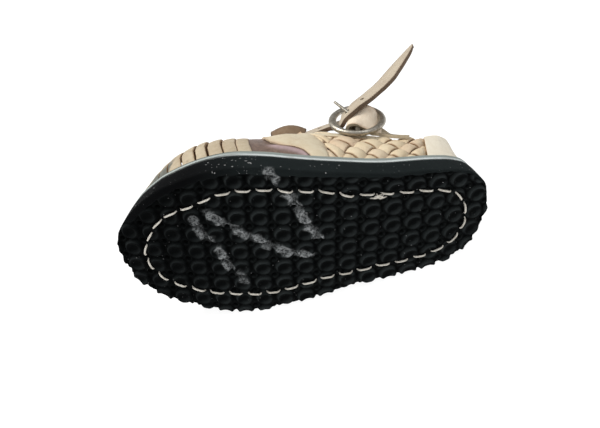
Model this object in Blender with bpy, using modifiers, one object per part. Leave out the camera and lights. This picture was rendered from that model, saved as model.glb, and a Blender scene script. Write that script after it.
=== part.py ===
"""Left woven leather sandal of a small child, lying on its inner side.

Everything is modelled in the shoe's own frame: X from heel to toe, Y to the outer side, Z up from
the underside of the tread. The empty that holds the parts turns them to the way the shoe lies.
Sizes are written in mm, and MM turns them into metres.
"""
import math

import bmesh
import bpy
import numpy as np
from mathutils import Matrix, Vector

# Named sizes
MM = 0.001
SOLE_LENGTH = 130.3
BALL_WIDTH = 63.5
HEEL_END = -68.5
ROCKER_RADIUS = 267.0
HALF_BALL = BALL_WIDTH / 2
STUD_PITCH = 7.5
STUD_ACROSS = 5.9
STUD_HEIGHT = 1.5
RUBBER_THICK = 6.5
MIDSOLE_THICK = 2.5
INSOLE_THICK = 1.5
CLEARANCE = 0.3
LAYER_GAP = 0.4
FEATHER_INSET = 3.0
WALL = 1.3
UPPER_HEIGHT = 34.0

RUBBER_TOP = STUD_HEIGHT + RUBBER_THICK
MIDSOLE_BOTTOM = RUBBER_TOP + CLEARANCE
MIDSOLE_TOP = MIDSOLE_BOTTOM + MIDSOLE_THICK
FEATHER_HEIGHT = MIDSOLE_TOP + LAYER_GAP

# Outline of the sole from the toe along the outer side to the heel and back along the inner side.
# Columns: share of the length from the heel, share of half the ball width outward.
OUTLINE = [
    (1.000, -0.060), (0.996, 0.090), (0.975, 0.260), (0.930, 0.490), (0.880, 0.665), (0.850, 0.750),
    (0.790, 0.870), (0.730, 0.955), (0.660, 0.998), (0.580, 0.970), (0.530, 0.930), (0.480, 0.888),
    (0.430, 0.847), (0.380, 0.808), (0.330, 0.765), (0.270, 0.722), (0.220, 0.700), (0.164, 0.672),
    (0.107, 0.626), (0.077, 0.585), (0.046, 0.520), (0.012, 0.350), (0.000, 0.100), (0.003, -0.060),
    (0.011, -0.210), (0.025, -0.330), (0.051, -0.470), (0.081, -0.555), (0.109, -0.606),
    (0.169, -0.645), (0.227, -0.665), (0.285, -0.690), (0.342, -0.715), (0.400, -0.757),
    (0.456, -0.813), (0.513, -0.873), (0.570, -0.932), (0.628, -0.980), (0.685, -0.998),
    (0.741, -0.978), (0.797, -0.925), (0.853, -0.858), (0.906, -0.755), (0.956, -0.598),
    (0.979, -0.470), (0.994, -0.280),
]

# Top of the upper. Columns: share of the length at the column's foot on the outer feather line, share
# of the length at its top, share of the foot's own distance from the middle, share of the height.
# At and ahead of the throat the third is 0, so that the outer and inner halves meet there.
THROAT_FOOT = 0.4643
TOP_LINE = [
    (0.9754, 0.8634, 0.00, 0.744), (0.9401, 0.8557, 0.00, 0.768), (0.8941, 0.8419, 0.00, 0.806),
    (0.8327, 0.8143, 0.00, 0.882), (0.7713, 0.7759, 0.00, 0.953), (0.6946, 0.7176, 0.00, 0.994),
    (0.6178, 0.6600, 0.00, 1.000), (0.5411, 0.6209, 0.00, 0.991), (0.4643, 0.5871, 0.00, 0.982),
    (0.4451, 0.5672, 0.27, 0.965), (0.4259, 0.5365, 0.55, 0.900), (0.4029, 0.4919, 0.77, 0.806),
    (0.3722, 0.4413, 0.88, 0.718), (0.3262, 0.3722, 0.92, 0.659), (0.2724, 0.2955, 0.92, 0.621),
    (0.2034, 0.2126, 0.91, 0.612), (0.1420, 0.1450, 0.92, 0.647), (0.0959, 0.1005, 0.86, 0.718),
    (0.0614, 0.0760, 0.78, 0.765), (0.0230, 0.0576, 0.00, 0.806),
]

# Edges between the strips that come up from the outer side of the toe, as shares of the length.
STRIP_EDGES = [0.6178, 0.6608, 0.6984, 0.7360, 0.7713, 0.8035, 0.8342]
BAND_FOOT = (0.4643, 0.4244)
COUNTER_FOOT = 0.1381
SLOT = 0.55
EDGE = 0.004
ROWS = 10

# Buckle and ankle strap
RING_SHARES = (0.3239, 0.7213, 0.8000)
RING_RADIUS = 9.0
RING_WIRE = 1.1
BAR_SHIFT = 0.7
BAR_RADIUS = 0.9
STRAP_THICK = 1.5
STRAP_WIDTH = 7.2
# Columns: shares of the length, of half the ball width and of the upper's height for the strap's
# middle, direction of its width, share of the strap's width.
STRAP_PATH = [
    (0.2571, -0.6677, 0.3324, 0.80, -0.17, -0.60, 1.00),
    (0.2993, -0.6724, 0.5235, 0.80, -0.14, -0.60, 1.00),
    (0.3492, -0.6803, 0.7294, 0.80, 0.10, -0.60, 1.06),
    (0.4144, -0.5795, 0.9176, 0.85, 0.20, -0.45, 1.19),
    (0.4758, -0.3622, 1.0471, 0.92, 0.30, -0.20, 1.33),
    (0.5104, -0.0945, 1.1235, 0.98, 0.20, 0.00, 1.44), (0.5226, 0.1764, 1.1588, 1.00, 0.05, 0.05, 1.53),
    (0.5196, 0.3591, 1.1382, 0.99, -0.12, 0.08, 1.53),
    (0.5058, 0.4913, 1.0588, 0.84, -0.32, 0.36, 1.33),
    (0.4751, 0.5417, 0.9765, 0.38, -0.55, 0.72, 1.08),
    (0.4351, 0.5606, 0.9324, 0.08, -0.62, 0.78, 1.00),
    (0.3983, 0.5827, 0.9029, 0.05, -0.55, 0.83, 1.00),
    (0.3707, 0.6646, 0.8471, 0.05, -0.40, 0.90, 1.00),
    (0.3576, 0.7654, 0.8412, 0.15, -0.30, 0.92, 1.00),
    (0.3277, 0.8661, 0.9000, 0.40, -0.10, 0.88, 1.00), (0.2878, 0.9197, 1.0000, 0.50, 0.05, 0.80, 1.00),
    (0.2417, 0.9953, 1.1412, 0.55, 0.10, 0.75, 1.03), (0.1880, 1.0992, 1.3353, 0.60, 0.15, 0.70, 1.03),
    (0.1328, 1.2031, 1.5529, 0.60, 0.15, 0.70, 0.94),
]
# Columns as above, for the loop of leather that holds the buckle.
CHAPE_PATH = [
    (0.1865, 0.6409, 0.6088, 0.05, -0.60, 0.80, 0.70),
    (0.2157, 0.6520, 0.6500, 0.05, -0.58, 0.81, 0.74),
    (0.2448, 0.6331, 0.7265, 0.05, -0.26, 0.96, 0.76), (0.2740, 0.6331, 0.7647, 0.00, 0.00, 1.00, 0.82),
    (0.3001, 0.6425, 0.7794, 0.00, 0.00, 1.00, 0.92), (0.3231, 0.6583, 0.7823, 0.00, 0.00, 1.00, 1.00),
    (0.3384, 0.6772, 0.7823, 0.00, 0.00, 1.00, 1.00), (0.3438, 0.7213, 0.7823, 0.00, 0.00, 1.00, 1.00),
    (0.3384, 0.7654, 0.7823, 0.00, 0.00, 1.00, 1.00), (0.3231, 0.7874, 0.7823, 0.00, 0.00, 1.00, 1.00),
    (0.3016, 0.7874, 0.7794, 0.00, 0.00, 1.00, 0.98), (0.2847, 0.7622, 0.7788, 0.00, 0.00, 1.00, 0.76),
]
CHAPE_THICK = 1.1
CHAPE_WIDTH = 10.0
# The prong's ends, from the frame's centre, as shares of the frame's radius
PRONG_ENDS = [(0.144, 0.178, 0.022), (0.833, 0.522, 0.722)]
PRONG_RADIUS = 0.65

# Looks. Columns: name, red, green, blue, roughness, metallic.
LOOKS = [
    ("outsole", 0.016, 0.016, 0.018, 0.78, 0.0), ("midsole", 0.52, 0.57, 0.56, 0.80, 0.0),
    ("insole", 0.50, 0.36, 0.22, 0.65, 0.0), ("upper", 0.66, 0.50, 0.33, 0.62, 0.0),
    ("ankle_strap", 0.46, 0.35, 0.25, 0.60, 0.0), ("buckle_chape", 0.78, 0.66, 0.49, 0.60, 0.0),
    ("buckle_frame", 0.32, 0.31, 0.27, 0.38, 1.0), ("buckle_prong", 0.22, 0.21, 0.19, 0.38, 1.0),
]

# Densities for the way it lies, in grams for each cubic mm
DENSITY = {
    "outsole": 1.15e-3, "midsole": 0.35e-3, "insole": 0.9e-3, "upper": 0.9e-3,
    "ankle_strap": 0.9e-3, "buckle_chape": 0.9e-3, "buckle_frame": 7.5e-3, "buckle_prong": 7.5e-3,
}

for old in list(bpy.data.objects):
    bpy.data.objects.remove(old, do_unlink=True)
scene = bpy.context.scene
parts = bpy.data.collections.new("woven_sandal")
cutters = bpy.data.collections.new("cutters")
scene.collection.children.link(parts)
scene.collection.children.link(cutters)


def at_shares(along, across, up):
    """A point in mm from shares of the length, of half the ball width and of the upper's height."""
    return (HEEL_END + along * SOLE_LENGTH, across * HALF_BALL, FEATHER_HEIGHT + up * UPPER_HEIGHT)


def unit(vector):
    return vector / max(np.linalg.norm(vector), 1e-9)


def smooth_curve(points, steps):
    """Points of a spline through the given ones, with its ends kept."""
    points = np.asarray(points, float)
    ends = np.vstack([2 * points[0] - points[1], points, 2 * points[-1] - points[-2]])
    found = []
    for k in range(len(points) - 1):
        a, b, c, d = ends[k : k + 4]
        for t in np.arange(steps) / steps:
            found.append(0.5 * (2 * b + (c - a) * t + (2 * a - 5 * b + 4 * c - d) * t**2
                                + (3 * b - a - 3 * c + d) * t**3))
    return np.array(found + [points[-1]])


def bend(place, across, height):
    """From the flat sole to the rocker: place along it, place across it and height over the tread."""
    angle = place / ROCKER_RADIUS
    reach = ROCKER_RADIUS - height
    return (reach * math.sin(angle), across, ROCKER_RADIUS - reach * math.cos(angle))


def loft(name, points, faces):
    """An object from the points of a loft, in mm, and its faces."""
    work = bmesh.new()
    corners = [work.verts.new(Vector(tuple(map(float, p))) * MM) for p in points]
    for face in faces:
        work.faces.new([corners[k] for k in face])
    bmesh.ops.remove_doubles(work, verts=work.verts, dist=1e-7)
    bmesh.ops.recalc_face_normals(work, faces=work.faces)
    return from_bmesh(name, work)


def from_bmesh(name, work):
    mesh = bpy.data.meshes.new(name)
    work.to_mesh(mesh)
    work.free()
    made = bpy.data.objects.new(name, mesh)
    parts.objects.link(made)
    return made


def keep_primitive(name):
    """Names the primitive just added and moves it to the shoe's collection."""
    made = bpy.context.object
    made.name = made.data.name = name
    for holder in list(made.users_collection):
        holder.objects.unlink(made)
    parts.objects.link(made)
    return made


def combine(target, other, operation):
    """A Boolean whose operand goes to the cutters."""
    change = target.modifiers.new(other.name, "BOOLEAN")
    change.operation = operation
    change.solver = "EXACT"
    change.object = other
    parts.objects.unlink(other)
    cutters.objects.link(other)
    other.hide_render = True
    other.display_type = "WIRE"


# Outline of the sole
def closed_outline():
    share = np.array(OUTLINE)
    flat = np.column_stack([HEEL_END + share[:, 0] * SOLE_LENGTH, share[:, 1] * HALF_BALL])
    around = np.vstack([flat[-2:], flat, flat[:3]])
    curve = smooth_curve(around, 10)
    curve = curve[20 : 20 + 10 * len(flat)]
    for _ in range(6):
        curve = 0.25 * np.roll(curve, 1, 0) + 0.5 * curve + 0.25 * np.roll(curve, -1, 0)
    ahead = np.roll(curve, -3, 0) - np.roll(curve, 3, 0)
    outward = np.column_stack([ahead[:, 1], -ahead[:, 0]])
    outward /= np.linalg.norm(outward, axis=1)[:, None]
    turned = np.sum(curve[:, 0] * np.roll(curve[:, 1], -1) - curve[:, 1] * np.roll(curve[:, 0], -1)) > 0
    return curve + (0.35 if turned else -0.35) * outward


def inset_outline(inset):
    ahead = np.roll(RIM, -3, 0) - np.roll(RIM, 3, 0)
    inward = np.column_stack([-ahead[:, 1], ahead[:, 0]])
    inward /= np.linalg.norm(inward, axis=1)[:, None]
    return RIM + inset * inward


def branches(inset):
    """Outer and inner halves of the inset outline, each from the toe's end to the heel's end."""
    loop = inset_outline(inset)
    toe = int(np.argmax(loop[:, 0]))
    loop = np.roll(loop, -toe, 0)
    heel = int(np.argmin(loop[:, 0]))
    return loop[: heel + 1], np.vstack([loop[:1], loop[heel:][::-1]])


RIM = closed_outline()
if np.sum(RIM[:, 0] * np.roll(RIM[:, 1], -1) - RIM[:, 1] * np.roll(RIM[:, 0], -1)) < 0:
    RIM = RIM[::-1]
    RIM = np.roll(RIM, 1, 0)


def across_at(branch, places):
    order = np.argsort(branch[:, 0], kind="stable")
    return np.interp(places, branch[order, 0], branch[order, 1])


def slab(name, layers, stations):
    """A bent slab: each layer is a height and an inset, and rungs across it carry the bend."""
    points, rings = [], []
    for height, inset in layers:
        one, two = branches(inset)
        if one[len(one) // 2, 1] < two[len(two) // 2, 1]:
            one, two = two, one
        low, high = one[:, 0].min(), one[:, 0].max()
        share = 0.5 - 0.5 * np.cos(np.pi * np.arange(stations + 1) / stations)
        share = 0.72 * share + 0.28 * np.arange(stations + 1) / stations
        places = low + (high - low) * share
        outer, inner = across_at(one, places), across_at(two, places)
        outer[0] = inner[0] = 0.5 * (outer[0] + inner[0])
        outer[-1] = inner[-1] = 0.5 * (outer[-1] + inner[-1])
        ring_outer, ring_inner = [], []
        for k, place in enumerate(places):
            ring_outer.append(len(points))
            points.append(bend(place, outer[k], height))
            if 0 < k < stations:
                ring_inner.append(len(points))
                points.append(bend(place, inner[k], height))
            else:
                ring_inner.append(ring_outer[-1])
        rings.append((ring_outer, ring_inner))
    faces = []
    for ring_outer, ring_inner in (rings[0], rings[-1]):
        for k in range(stations):
            corners = [ring_outer[k], ring_outer[k + 1], ring_inner[k + 1], ring_inner[k]]
            faces.append([c for n, c in enumerate(corners) if c not in corners[:n]])
    for (lower_outer, lower_inner), (upper_outer, upper_inner) in zip(rings, rings[1:]):
        for k in range(stations):
            faces.append([lower_outer[k], lower_outer[k + 1], upper_outer[k + 1], upper_outer[k]])
            faces.append([lower_inner[k], lower_inner[k + 1], upper_inner[k + 1], upper_inner[k]])
    return loft(name, points, faces)


# Tread: round studs on a square pitch, cut off by the edge of the sole
def depth_inside(spot):
    """How far a spot on the flat sole lies inside the outline, negative when it is outside."""
    apart = RIM - spot
    nearest = int(np.argmin(np.linalg.norm(apart, axis=1)))
    ahead = RIM[(nearest + 1) % len(RIM)] - RIM[nearest - 1]
    inward = unit(np.array([-ahead[1], ahead[0]]))
    return float(-apart[nearest] @ inward)


def studs():
    turn = math.radians(2.86)
    step_i = STUD_PITCH * np.array([-math.cos(turn), -math.sin(turn)])
    step_j = STUD_PITCH * np.array([math.sin(turn), -math.cos(turn)])
    corner = np.array([0.39, -7.79]) + 0.5 * (step_i + step_j)
    work = bmesh.new()
    depth = STUD_HEIGHT + 0.5
    radius = STUD_ACROSS / 2 / math.cos(math.pi / 8)
    for i in range(-12, 13):
        for j in range(-8, 9):
            place, across = corner + i * step_i + j * step_j
            if depth_inside(np.array([place, across])) < -1.3:
                continue
            middle = Vector(bend(place, across, depth / 2)) * MM
            lean = Matrix.Rotation(-place / ROCKER_RADIUS, 4, "Y")
            spin = Matrix.Rotation(math.pi / 8, 4, "Z")
            bmesh.ops.create_cone(
                work, cap_ends=True, segments=8, radius1=radius * MM, radius2=radius * MM,
                depth=depth * MM, matrix=Matrix.Translation(middle) @ lean @ spin,
            )
    return from_bmesh("studs", work)


outsole = slab(
    "outsole",
    [(STUD_HEIGHT, 0.45), (STUD_HEIGHT + 0.5, 0.0), (RUBBER_TOP - 1.3, 0.0), (RUBBER_TOP - 1.0, 0.3),
     (RUBBER_TOP, 0.3)],
    36,
)
tread = studs()
combine(tread, slab("tread_edge", [(-1.0, 0.35), (STUD_HEIGHT + 1.5, 0.35)], 36), "INTERSECT")
combine(outsole, tread, "UNION")
midsole = slab("midsole", [(MIDSOLE_BOTTOM, 0.6), (MIDSOLE_TOP, 0.6)], 36)
inside = FEATHER_INSET + WALL + 2 * CLEARANCE
insole = slab("insole", [(FEATHER_HEIGHT, inside), (FEATHER_HEIGHT + INSOLE_THICK, inside)], 26)


# Upper: one wall on columns that run from the feather line to the ridge or the collar
def feather_line():
    outer, inner = branches(FEATHER_INSET)
    if outer[len(outer) // 2, 1] < inner[len(inner) // 2, 1]:
        outer, inner = inner, outer
    return outer, inner


def run_of(line):
    return np.concatenate([[0.0], np.cumsum(np.linalg.norm(np.diff(line, axis=0), axis=1))])


FEATHER_OUT, FEATHER_IN = feather_line()
RUN_OUT, RUN_IN = run_of(FEATHER_OUT), run_of(FEATHER_IN)


def share_of(place):
    """Share of the outer feather line's run from the toe, at a share of the length."""
    where = HEEL_END + place * SOLE_LENGTH
    return float(np.interp(-where, -FEATHER_OUT[:, 0], RUN_OUT)) / RUN_OUT[-1]


def column_shares():
    """Columns from toe to heel, with the kind of strip that starts at each."""
    columns = [(0.0, "strip")]
    toe_end = share_of(STRIP_EDGES[-1])
    half = SLOT / 2 / RUN_OUT[-1]
    count = 6
    for k in range(1, count):
        middle = toe_end * k / count
        columns += [(middle - half, "slot"), (middle + half, "strip")]
    for place in STRIP_EDGES[::-1]:
        middle = share_of(place)
        kind = "panel" if place == STRIP_EDGES[0] else "strip"
        columns += [(middle - half, "slot"), (middle + half, kind)]
    for place in (0.5794, 0.5411, 0.5027):
        columns.append((share_of(place), "panel"))
    columns += [(share_of(BAND_FOOT[0] + EDGE), "edge"), (share_of(BAND_FOOT[0]), "band")]
    columns.append((share_of(0.5 * sum(BAND_FOOT)), "band"))
    columns += [(share_of(BAND_FOOT[1]), "edge"), (share_of(BAND_FOOT[1] - EDGE), "weave")]
    places = np.linspace(BAND_FOOT[1] - EDGE, COUNTER_FOOT, 14)[1:-1]
    columns += [(share_of(place), "weave") for place in places]
    columns += [(share_of(COUNTER_FOOT), "edge"), (share_of(COUNTER_FOOT - EDGE), "counter")]
    start = share_of(COUNTER_FOOT - EDGE)
    columns += [(start + (1 - start) * k / 5, "counter") for k in range(1, 6)]
    return columns


COLUMNS = column_shares()
LAST = len(COLUMNS) - 1
SHARES = [share for share, _ in COLUMNS]
KINDS = [kind for _, kind in COLUMNS]
THROAT = int(np.argmin([abs(share - share_of(THROAT_FOOT)) for share in SHARES]))


def base_point(share, row, side):
    """A point of the wall's middle surface."""
    line, run = (FEATHER_OUT, RUN_OUT) if side > 0 else (FEATHER_IN, RUN_IN)
    foot = [np.interp(share * run[-1], run, line[:, k]) for k in (0, 1)]
    place = float(np.interp(share * RUN_OUT[-1], RUN_OUT, FEATHER_OUT[:, 0]))
    place = (place - HEEL_END) / SOLE_LENGTH
    table = np.array(TOP_LINE)[::-1]
    top_x, top_share, top_z = (np.interp(place, table[:, 0], table[:, k]) for k in (1, 2, 3))
    top_x, _, top_z = at_shares(top_x, 0.0, top_z)
    if share <= SHARES[THROAT] + 1e-9:
        top_share = 0.0
    foot_x, foot_y, foot_z = bend(foot[0], foot[1], FEATHER_HEIGHT)
    # The feather line's ends are not quite on the middle line, so the ridge follows them.
    top_y = top_share * foot_y
    closed = np.clip((place - 0.357) / 0.107, 0, 1)
    closed = closed * closed * (3 - 2 * closed)
    angle = 0.5 * math.pi * row
    round_in, round_up = 1 - math.cos(angle) ** 0.87, math.sin(angle) ** 0.87
    lean_in, lean_up = row**1.5, row
    travel = closed * round_in + (1 - closed) * lean_in
    rise = closed * round_up + (1 - closed) * lean_up
    x = foot_x + (top_x - foot_x) * travel
    y = foot_y + (top_y - foot_y) * travel
    z = foot_z + (top_z - foot_z) * rise
    bulge = (1 - closed) * 0.9 * math.sin(math.pi * row) * unit(np.array([0.25 * foot_x, foot_y]))[1]
    return np.array([x, y + bulge, z])


def relief(column, row):
    """Height of the strips over the wall's middle surface."""
    kind = KINDS[column]
    before = KINDS[column - 1] if column else kind
    if kind == "slot" or (kind in ("strip", "panel") and before == "slot"):
        kind = "strip" if kind == "slot" else kind
    if kind == "edge":
        kind = before
    if kind == "strip":
        strip = sum(1 for k in KINDS[:column] if k == "slot") - (1 if KINDS[column] == "slot" else 0)
        if KINDS[column] == "slot":
            strip = sum(1 for k in KINDS[:column] if k == "slot")
        if row >= 6:
            return 0.85 if (strip + row // 2) % 2 else 0.35
        return 0.6
    if kind == "panel":
        return 0.15
    if kind == "band":
        return 0.95
    if kind == "weave":
        return 0.95 if (column + row) % 2 else 0.2
    return 0.45


def make_upper():
    # Pole columns at the toe and the heel are shared, and so is the ridge ahead of the throat.
    rows = [k / ROWS for k in range(ROWS + 1)]
    grid = {}
    for side in (1, -1):
        for c, share in enumerate(SHARES):
            for r, row in enumerate(rows):
                grid[side, c, r] = base_point(share, row, side)
    for c in (0, LAST):
        for r in range(ROWS + 1):
            middle = 0.5 * (grid[1, c, r] + grid[-1, c, r])
            grid[1, c, r] = grid[-1, c, r] = middle
    for c in range(THROAT + 1):
        middle = 0.5 * (grid[1, c, ROWS] + grid[-1, c, ROWS])
        grid[1, c, ROWS] = grid[-1, c, ROWS] = middle

    def key(side, c, r):
        if c in (0, LAST) or (r == ROWS and c <= THROAT):
            return (1, c, r)
        return (side, c, r)

    normals = {}
    eps = 0.006
    for side in (1, -1):
        for c, share in enumerate(SHARES):
            for r, row in enumerate(rows):
                a = base_point(min(share + eps, 1), row, side) - base_point(max(share - eps, 0), row, side)
                b = base_point(share, min(row + 0.04, 1), side) - base_point(share, max(row - 0.04, 0), side)
                normal = unit(np.cross(a, b)) * side
                spot = key(side, c, r)
                normals[spot] = normals.get(spot, np.zeros(3)) + normal
    for spot, normal in normals.items():
        normal = unit(normal)
        outward = grid[spot] - np.array([min(grid[spot][0], 35.0) * 0.85, 0, FEATHER_HEIGHT + 0.2 * UPPER_HEIGHT])
        if normal @ outward < 0:
            normal = -normal
        if spot[2] == 0:
            normal = unit(np.array([normal[0], normal[1], 0.0]))
        normals[spot] = normal

    index, points = {}, []

    def spot_index(side, c, r, skin):
        spot = key(side, c, r) + (skin,)
        if spot not in index:
            base, normal = grid[spot[:3]], normals[spot[:3]]
            depth = relief(c, r) if skin else -WALL
            index[spot] = len(points)
            points.append(base + normal * depth)
        return index[spot]

    def solid(c, r):
        if not (0 <= c < LAST and 0 <= r < ROWS):
            return False
        return not (KINDS[c] == "slot" and 1 <= r < 5)

    faces = []
    for side in (1, -1):
        for c in range(LAST):
            for r in range(ROWS):
                if not solid(c, r):
                    continue
                corners = [(c, r), (c + 1, r), (c + 1, r + 1), (c, r + 1)]
                skin = [spot_index(side, a, b, True) for a, b in corners]
                if KINDS[c] == "weave":
                    # The low corners are joined, so that each crossing stands alone.
                    first = 1 if (c + r) % 2 else 0
                    skin = skin[1 - first :] + skin[: 1 - first]
                    faces.append([skin[0], skin[1], skin[2]])
                    faces.append([skin[2], skin[3], skin[0]])
                else:
                    faces.append(skin)
                faces.append([spot_index(side, a, b, False) for a, b in corners[::-1]])
                around = [((c, r - 1), corners[0], corners[1]), ((c + 1, r), corners[1], corners[2]),
                          ((c, r + 1), corners[2], corners[3]), ((c - 1, r), corners[3], corners[0])]
                for (nc, nr), a, b in around:
                    if solid(nc, nr) or nc < 0 or nc >= LAST:
                        continue
                    if nr >= ROWS and c < THROAT:
                        continue
                    faces.append([spot_index(side, *a, True), spot_index(side, *a, False),
                                  spot_index(side, *b, False), spot_index(side, *b, True)])
    return loft("upper", points, faces)


upper = make_upper()


# Ribbons of leather: an open strip between two rails, thickened
def ribbon(name, table, width, thick, steps, pointed=0):
    data = np.array([(*at_shares(*row[:3]), *row[3:]) for row in table])
    middle = smooth_curve(data[:, :3], steps)
    across = smooth_curve(data[:, 3:6], steps)
    widths = smooth_curve(data[:, 6:], steps)[:, 0]
    tangent = np.gradient(middle, axis=0)
    points, faces = [], []
    count = len(middle)
    for k in range(count):
        along = unit(tangent[k])
        side = unit(across[k] - along * (across[k] @ along))
        half = widths[k] * width / 2
        if pointed and k > count - 1 - pointed:
            half *= 0.12 + 0.88 * ((count - 1 - k) / pointed) ** 0.7
        points += [middle[k] - half * side, middle[k] + half * side]
        if k:
            faces.append([2 * k - 2, 2 * k - 1, 2 * k + 1, 2 * k])
    made = loft(name, points, faces)
    shell = made.modifiers.new("thickness", "SOLIDIFY")
    shell.thickness = thick * MM
    shell.offset = 0.0
    return made


def rod(name, start, end, radius, tip=1.0):
    """A round rod between two points in mm, from a cone primitive."""
    axis = end - start
    bpy.ops.mesh.primitive_cone_add(
        vertices=10, radius1=radius * MM, radius2=radius * tip * MM, depth=axis.length * MM,
        location=(start + end) / 2 * MM, rotation=axis.to_track_quat("Z", "Y").to_euler(),
    )
    return keep_primitive(name)


ankle_strap = ribbon("ankle_strap", STRAP_PATH, STRAP_WIDTH, STRAP_THICK, 3, pointed=5)
buckle_chape = ribbon("buckle_chape", CHAPE_PATH, CHAPE_WIDTH, CHAPE_THICK, 2)

RING_CENTRE = Vector(at_shares(*RING_SHARES))
PRONG_START, PRONG_END = (RING_CENTRE + Vector(end) * RING_RADIUS for end in PRONG_ENDS)

# Buckle: a round frame that stands upright, a bar across it and a prong
bpy.ops.mesh.primitive_torus_add(
    major_radius=RING_RADIUS * MM, minor_radius=RING_WIRE * MM, major_segments=28, minor_segments=8,
    location=RING_CENTRE * MM, rotation=(math.radians(90), 0, 0),
)
buckle_frame = keep_primitive("buckle_frame")
reach = math.sqrt(RING_RADIUS**2 - BAR_SHIFT**2)
bar_ends = [RING_CENTRE + Vector((BAR_SHIFT, 0, way * reach)) for way in (-1, 1)]
combine(buckle_frame, rod("bar", *bar_ends, BAR_RADIUS), "UNION")
buckle_prong = rod("buckle_prong", PRONG_START, PRONG_END, PRONG_RADIUS, tip=0.6)

# Room for the prong in the strap's hole and in the slot of the buckle's loop of leather
along_prong = (PRONG_END - PRONG_START).normalized()
for leather in (ankle_strap, buckle_chape):
    room = rod(leather.name + "_hole", PRONG_START - along_prong * 1.6, PRONG_END + along_prong * 3,
               PRONG_RADIUS + 0.45)
    combine(leather, room, "DIFFERENCE")

nodes = [outsole, midsole, insole, upper, ankle_strap, buckle_chape, buckle_frame, buckle_prong]
for node, look in zip(nodes, LOOKS):
    material = bpy.data.materials.new(look[0])
    material.use_nodes = True
    surface = material.node_tree.nodes["Principled BSDF"]
    surface.inputs["Base Color"].default_value = (*look[1:4], 1.0)
    surface.inputs["Roughness"].default_value = look[4]
    surface.inputs["Metallic"].default_value = look[5]
    node.data.materials.append(material)
    node.data.shade_smooth()
    node.data.set_sharp_from_angle(angle=math.radians(30))

# The way it lies: on its inner side, on the edge of the sole and the side of the upper
bpy.context.view_layer.update()
graph = bpy.context.evaluated_depsgraph_get()


def triangles(node):
    """Points in mm and triangles of a node as it is drawn."""
    drawn = node.evaluated_get(graph)
    mesh = drawn.to_mesh()
    mesh.calc_loop_triangles()
    spots = np.array([tuple(drawn.matrix_world @ v.co / MM) for v in mesh.vertices])
    corners = np.array([tuple(t.vertices) for t in mesh.loop_triangles])
    drawn.to_mesh_clear()
    return spots, corners


every, mass, moment, total = [], 0.0, np.zeros(3), 0
for node in nodes:
    spots, corners = triangles(node)
    every.append(spots)
    three = spots[corners]
    volumes = np.einsum("ij,ij->i", three[:, 0], np.cross(three[:, 1], three[:, 2])) / 6
    grams = DENSITY[node.name] * volumes
    mass += grams.sum()
    moment += (grams[:, None] * three.sum(1) / 4).sum(0)
    total += len(corners)
    print(node.name, "volume", round(volumes.sum()), "triangles", len(corners))
every = np.vstack(every)
centre = Vector(moment / mass)

# The face of the hull under the centre of mass, on the inner side
cloud = bmesh.new()
for spot in every:
    cloud.verts.new(spot)
hull = bmesh.ops.convex_hull(cloud, input=cloud.verts)
lying = None
for face in [item for item in hull["geom"] if isinstance(item, bmesh.types.BMFace)]:
    normal = face.normal.copy()
    if normal.dot(face.verts[0].co - centre) < 0:
        normal.negate()
    if normal.y > -0.5:
        continue
    depth = normal.dot(face.verts[0].co - centre)
    foot = centre + normal * depth
    corners = [vert.co for vert in face.verts]
    turns = [(b - a).cross(foot - a).dot(normal) for a, b in zip(corners, corners[1:] + corners[:1])]
    if (min(turns) >= -1e-6 or max(turns) <= 1e-6) and (lying is None or depth < lying[0]):
        lying = (depth, normal, [tuple(round(c, 1) for c in corner) for corner in corners])
cloud.free()

up = -lying[1]
along_x = (up * up.x - Vector((1, 0, 0))).normalized()
turned = Matrix((along_x, up.cross(along_x), up))
world = every @ np.array(turned).T
low, high = world.min(0), world.max(0)
shift = Vector((-(low[0] + high[0]) / 2, -(low[1] + high[1]) / 2, -low[2]))
place = Matrix.Translation(shift * MM) @ turned.to_4x4()
holder = bpy.data.objects.new("lying_on_its_side", None)
parts.objects.link(holder)
holder.matrix_world = place
for node in nodes + list(cutters.objects):
    node.parent = holder
print("mass in g", round(mass, 1), "centre", [round(c, 2) for c in centre], "triangles", total)
print("lies on", lying[2], "up", [round(c, 4) for c in up])
print("size in mm", (high - low).round(2))
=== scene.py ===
"""Left woven leather sandal of a small child, lying on its inner side: its looks.

Each piece is modelled in the shoe's own frame and in mm: X from heel to toe, Y to the outer side and
Z up from the tread. lay_down() then turns it to the way the shoe lies, in metres.
"""
import math

import bpy
import numpy as np
from mathutils import Matrix, Vector
from mathutils.bvhtree import BVHTree


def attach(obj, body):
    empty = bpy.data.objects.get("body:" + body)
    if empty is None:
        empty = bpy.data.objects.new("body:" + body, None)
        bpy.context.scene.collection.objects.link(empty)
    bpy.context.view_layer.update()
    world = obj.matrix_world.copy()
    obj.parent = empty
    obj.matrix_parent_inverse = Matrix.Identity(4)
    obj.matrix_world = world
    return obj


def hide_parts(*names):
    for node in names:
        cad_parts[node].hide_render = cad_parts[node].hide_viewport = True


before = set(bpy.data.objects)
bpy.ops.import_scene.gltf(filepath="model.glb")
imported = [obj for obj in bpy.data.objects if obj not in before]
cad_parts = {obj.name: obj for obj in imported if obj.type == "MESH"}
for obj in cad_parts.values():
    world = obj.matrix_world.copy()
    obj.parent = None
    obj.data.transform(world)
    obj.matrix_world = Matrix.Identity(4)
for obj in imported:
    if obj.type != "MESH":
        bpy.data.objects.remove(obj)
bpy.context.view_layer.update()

# Rubber outsole
# One moulded slab of black rubber with round cup-shaped studs on a square pitch and a small hole
# between every four. It is cut to the outline, so the studs along the edge are cut through.
MM = 0.001
LYING = Matrix((
    (-0.984824836, 0.173283577, -0.009634299, -0.003036681),
    (0.000000001, 0.055512723, 0.998457909, -0.032443840),
    (0.173551202, 0.983306170, -0.054670308, 0.029073941),
    (0.0, 0.0, 0.0, 1.0),
))
SOLE_LENGTH = 130.3
HALF_BALL = 63.5 / 2
HEEL_END = -68.5
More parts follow.
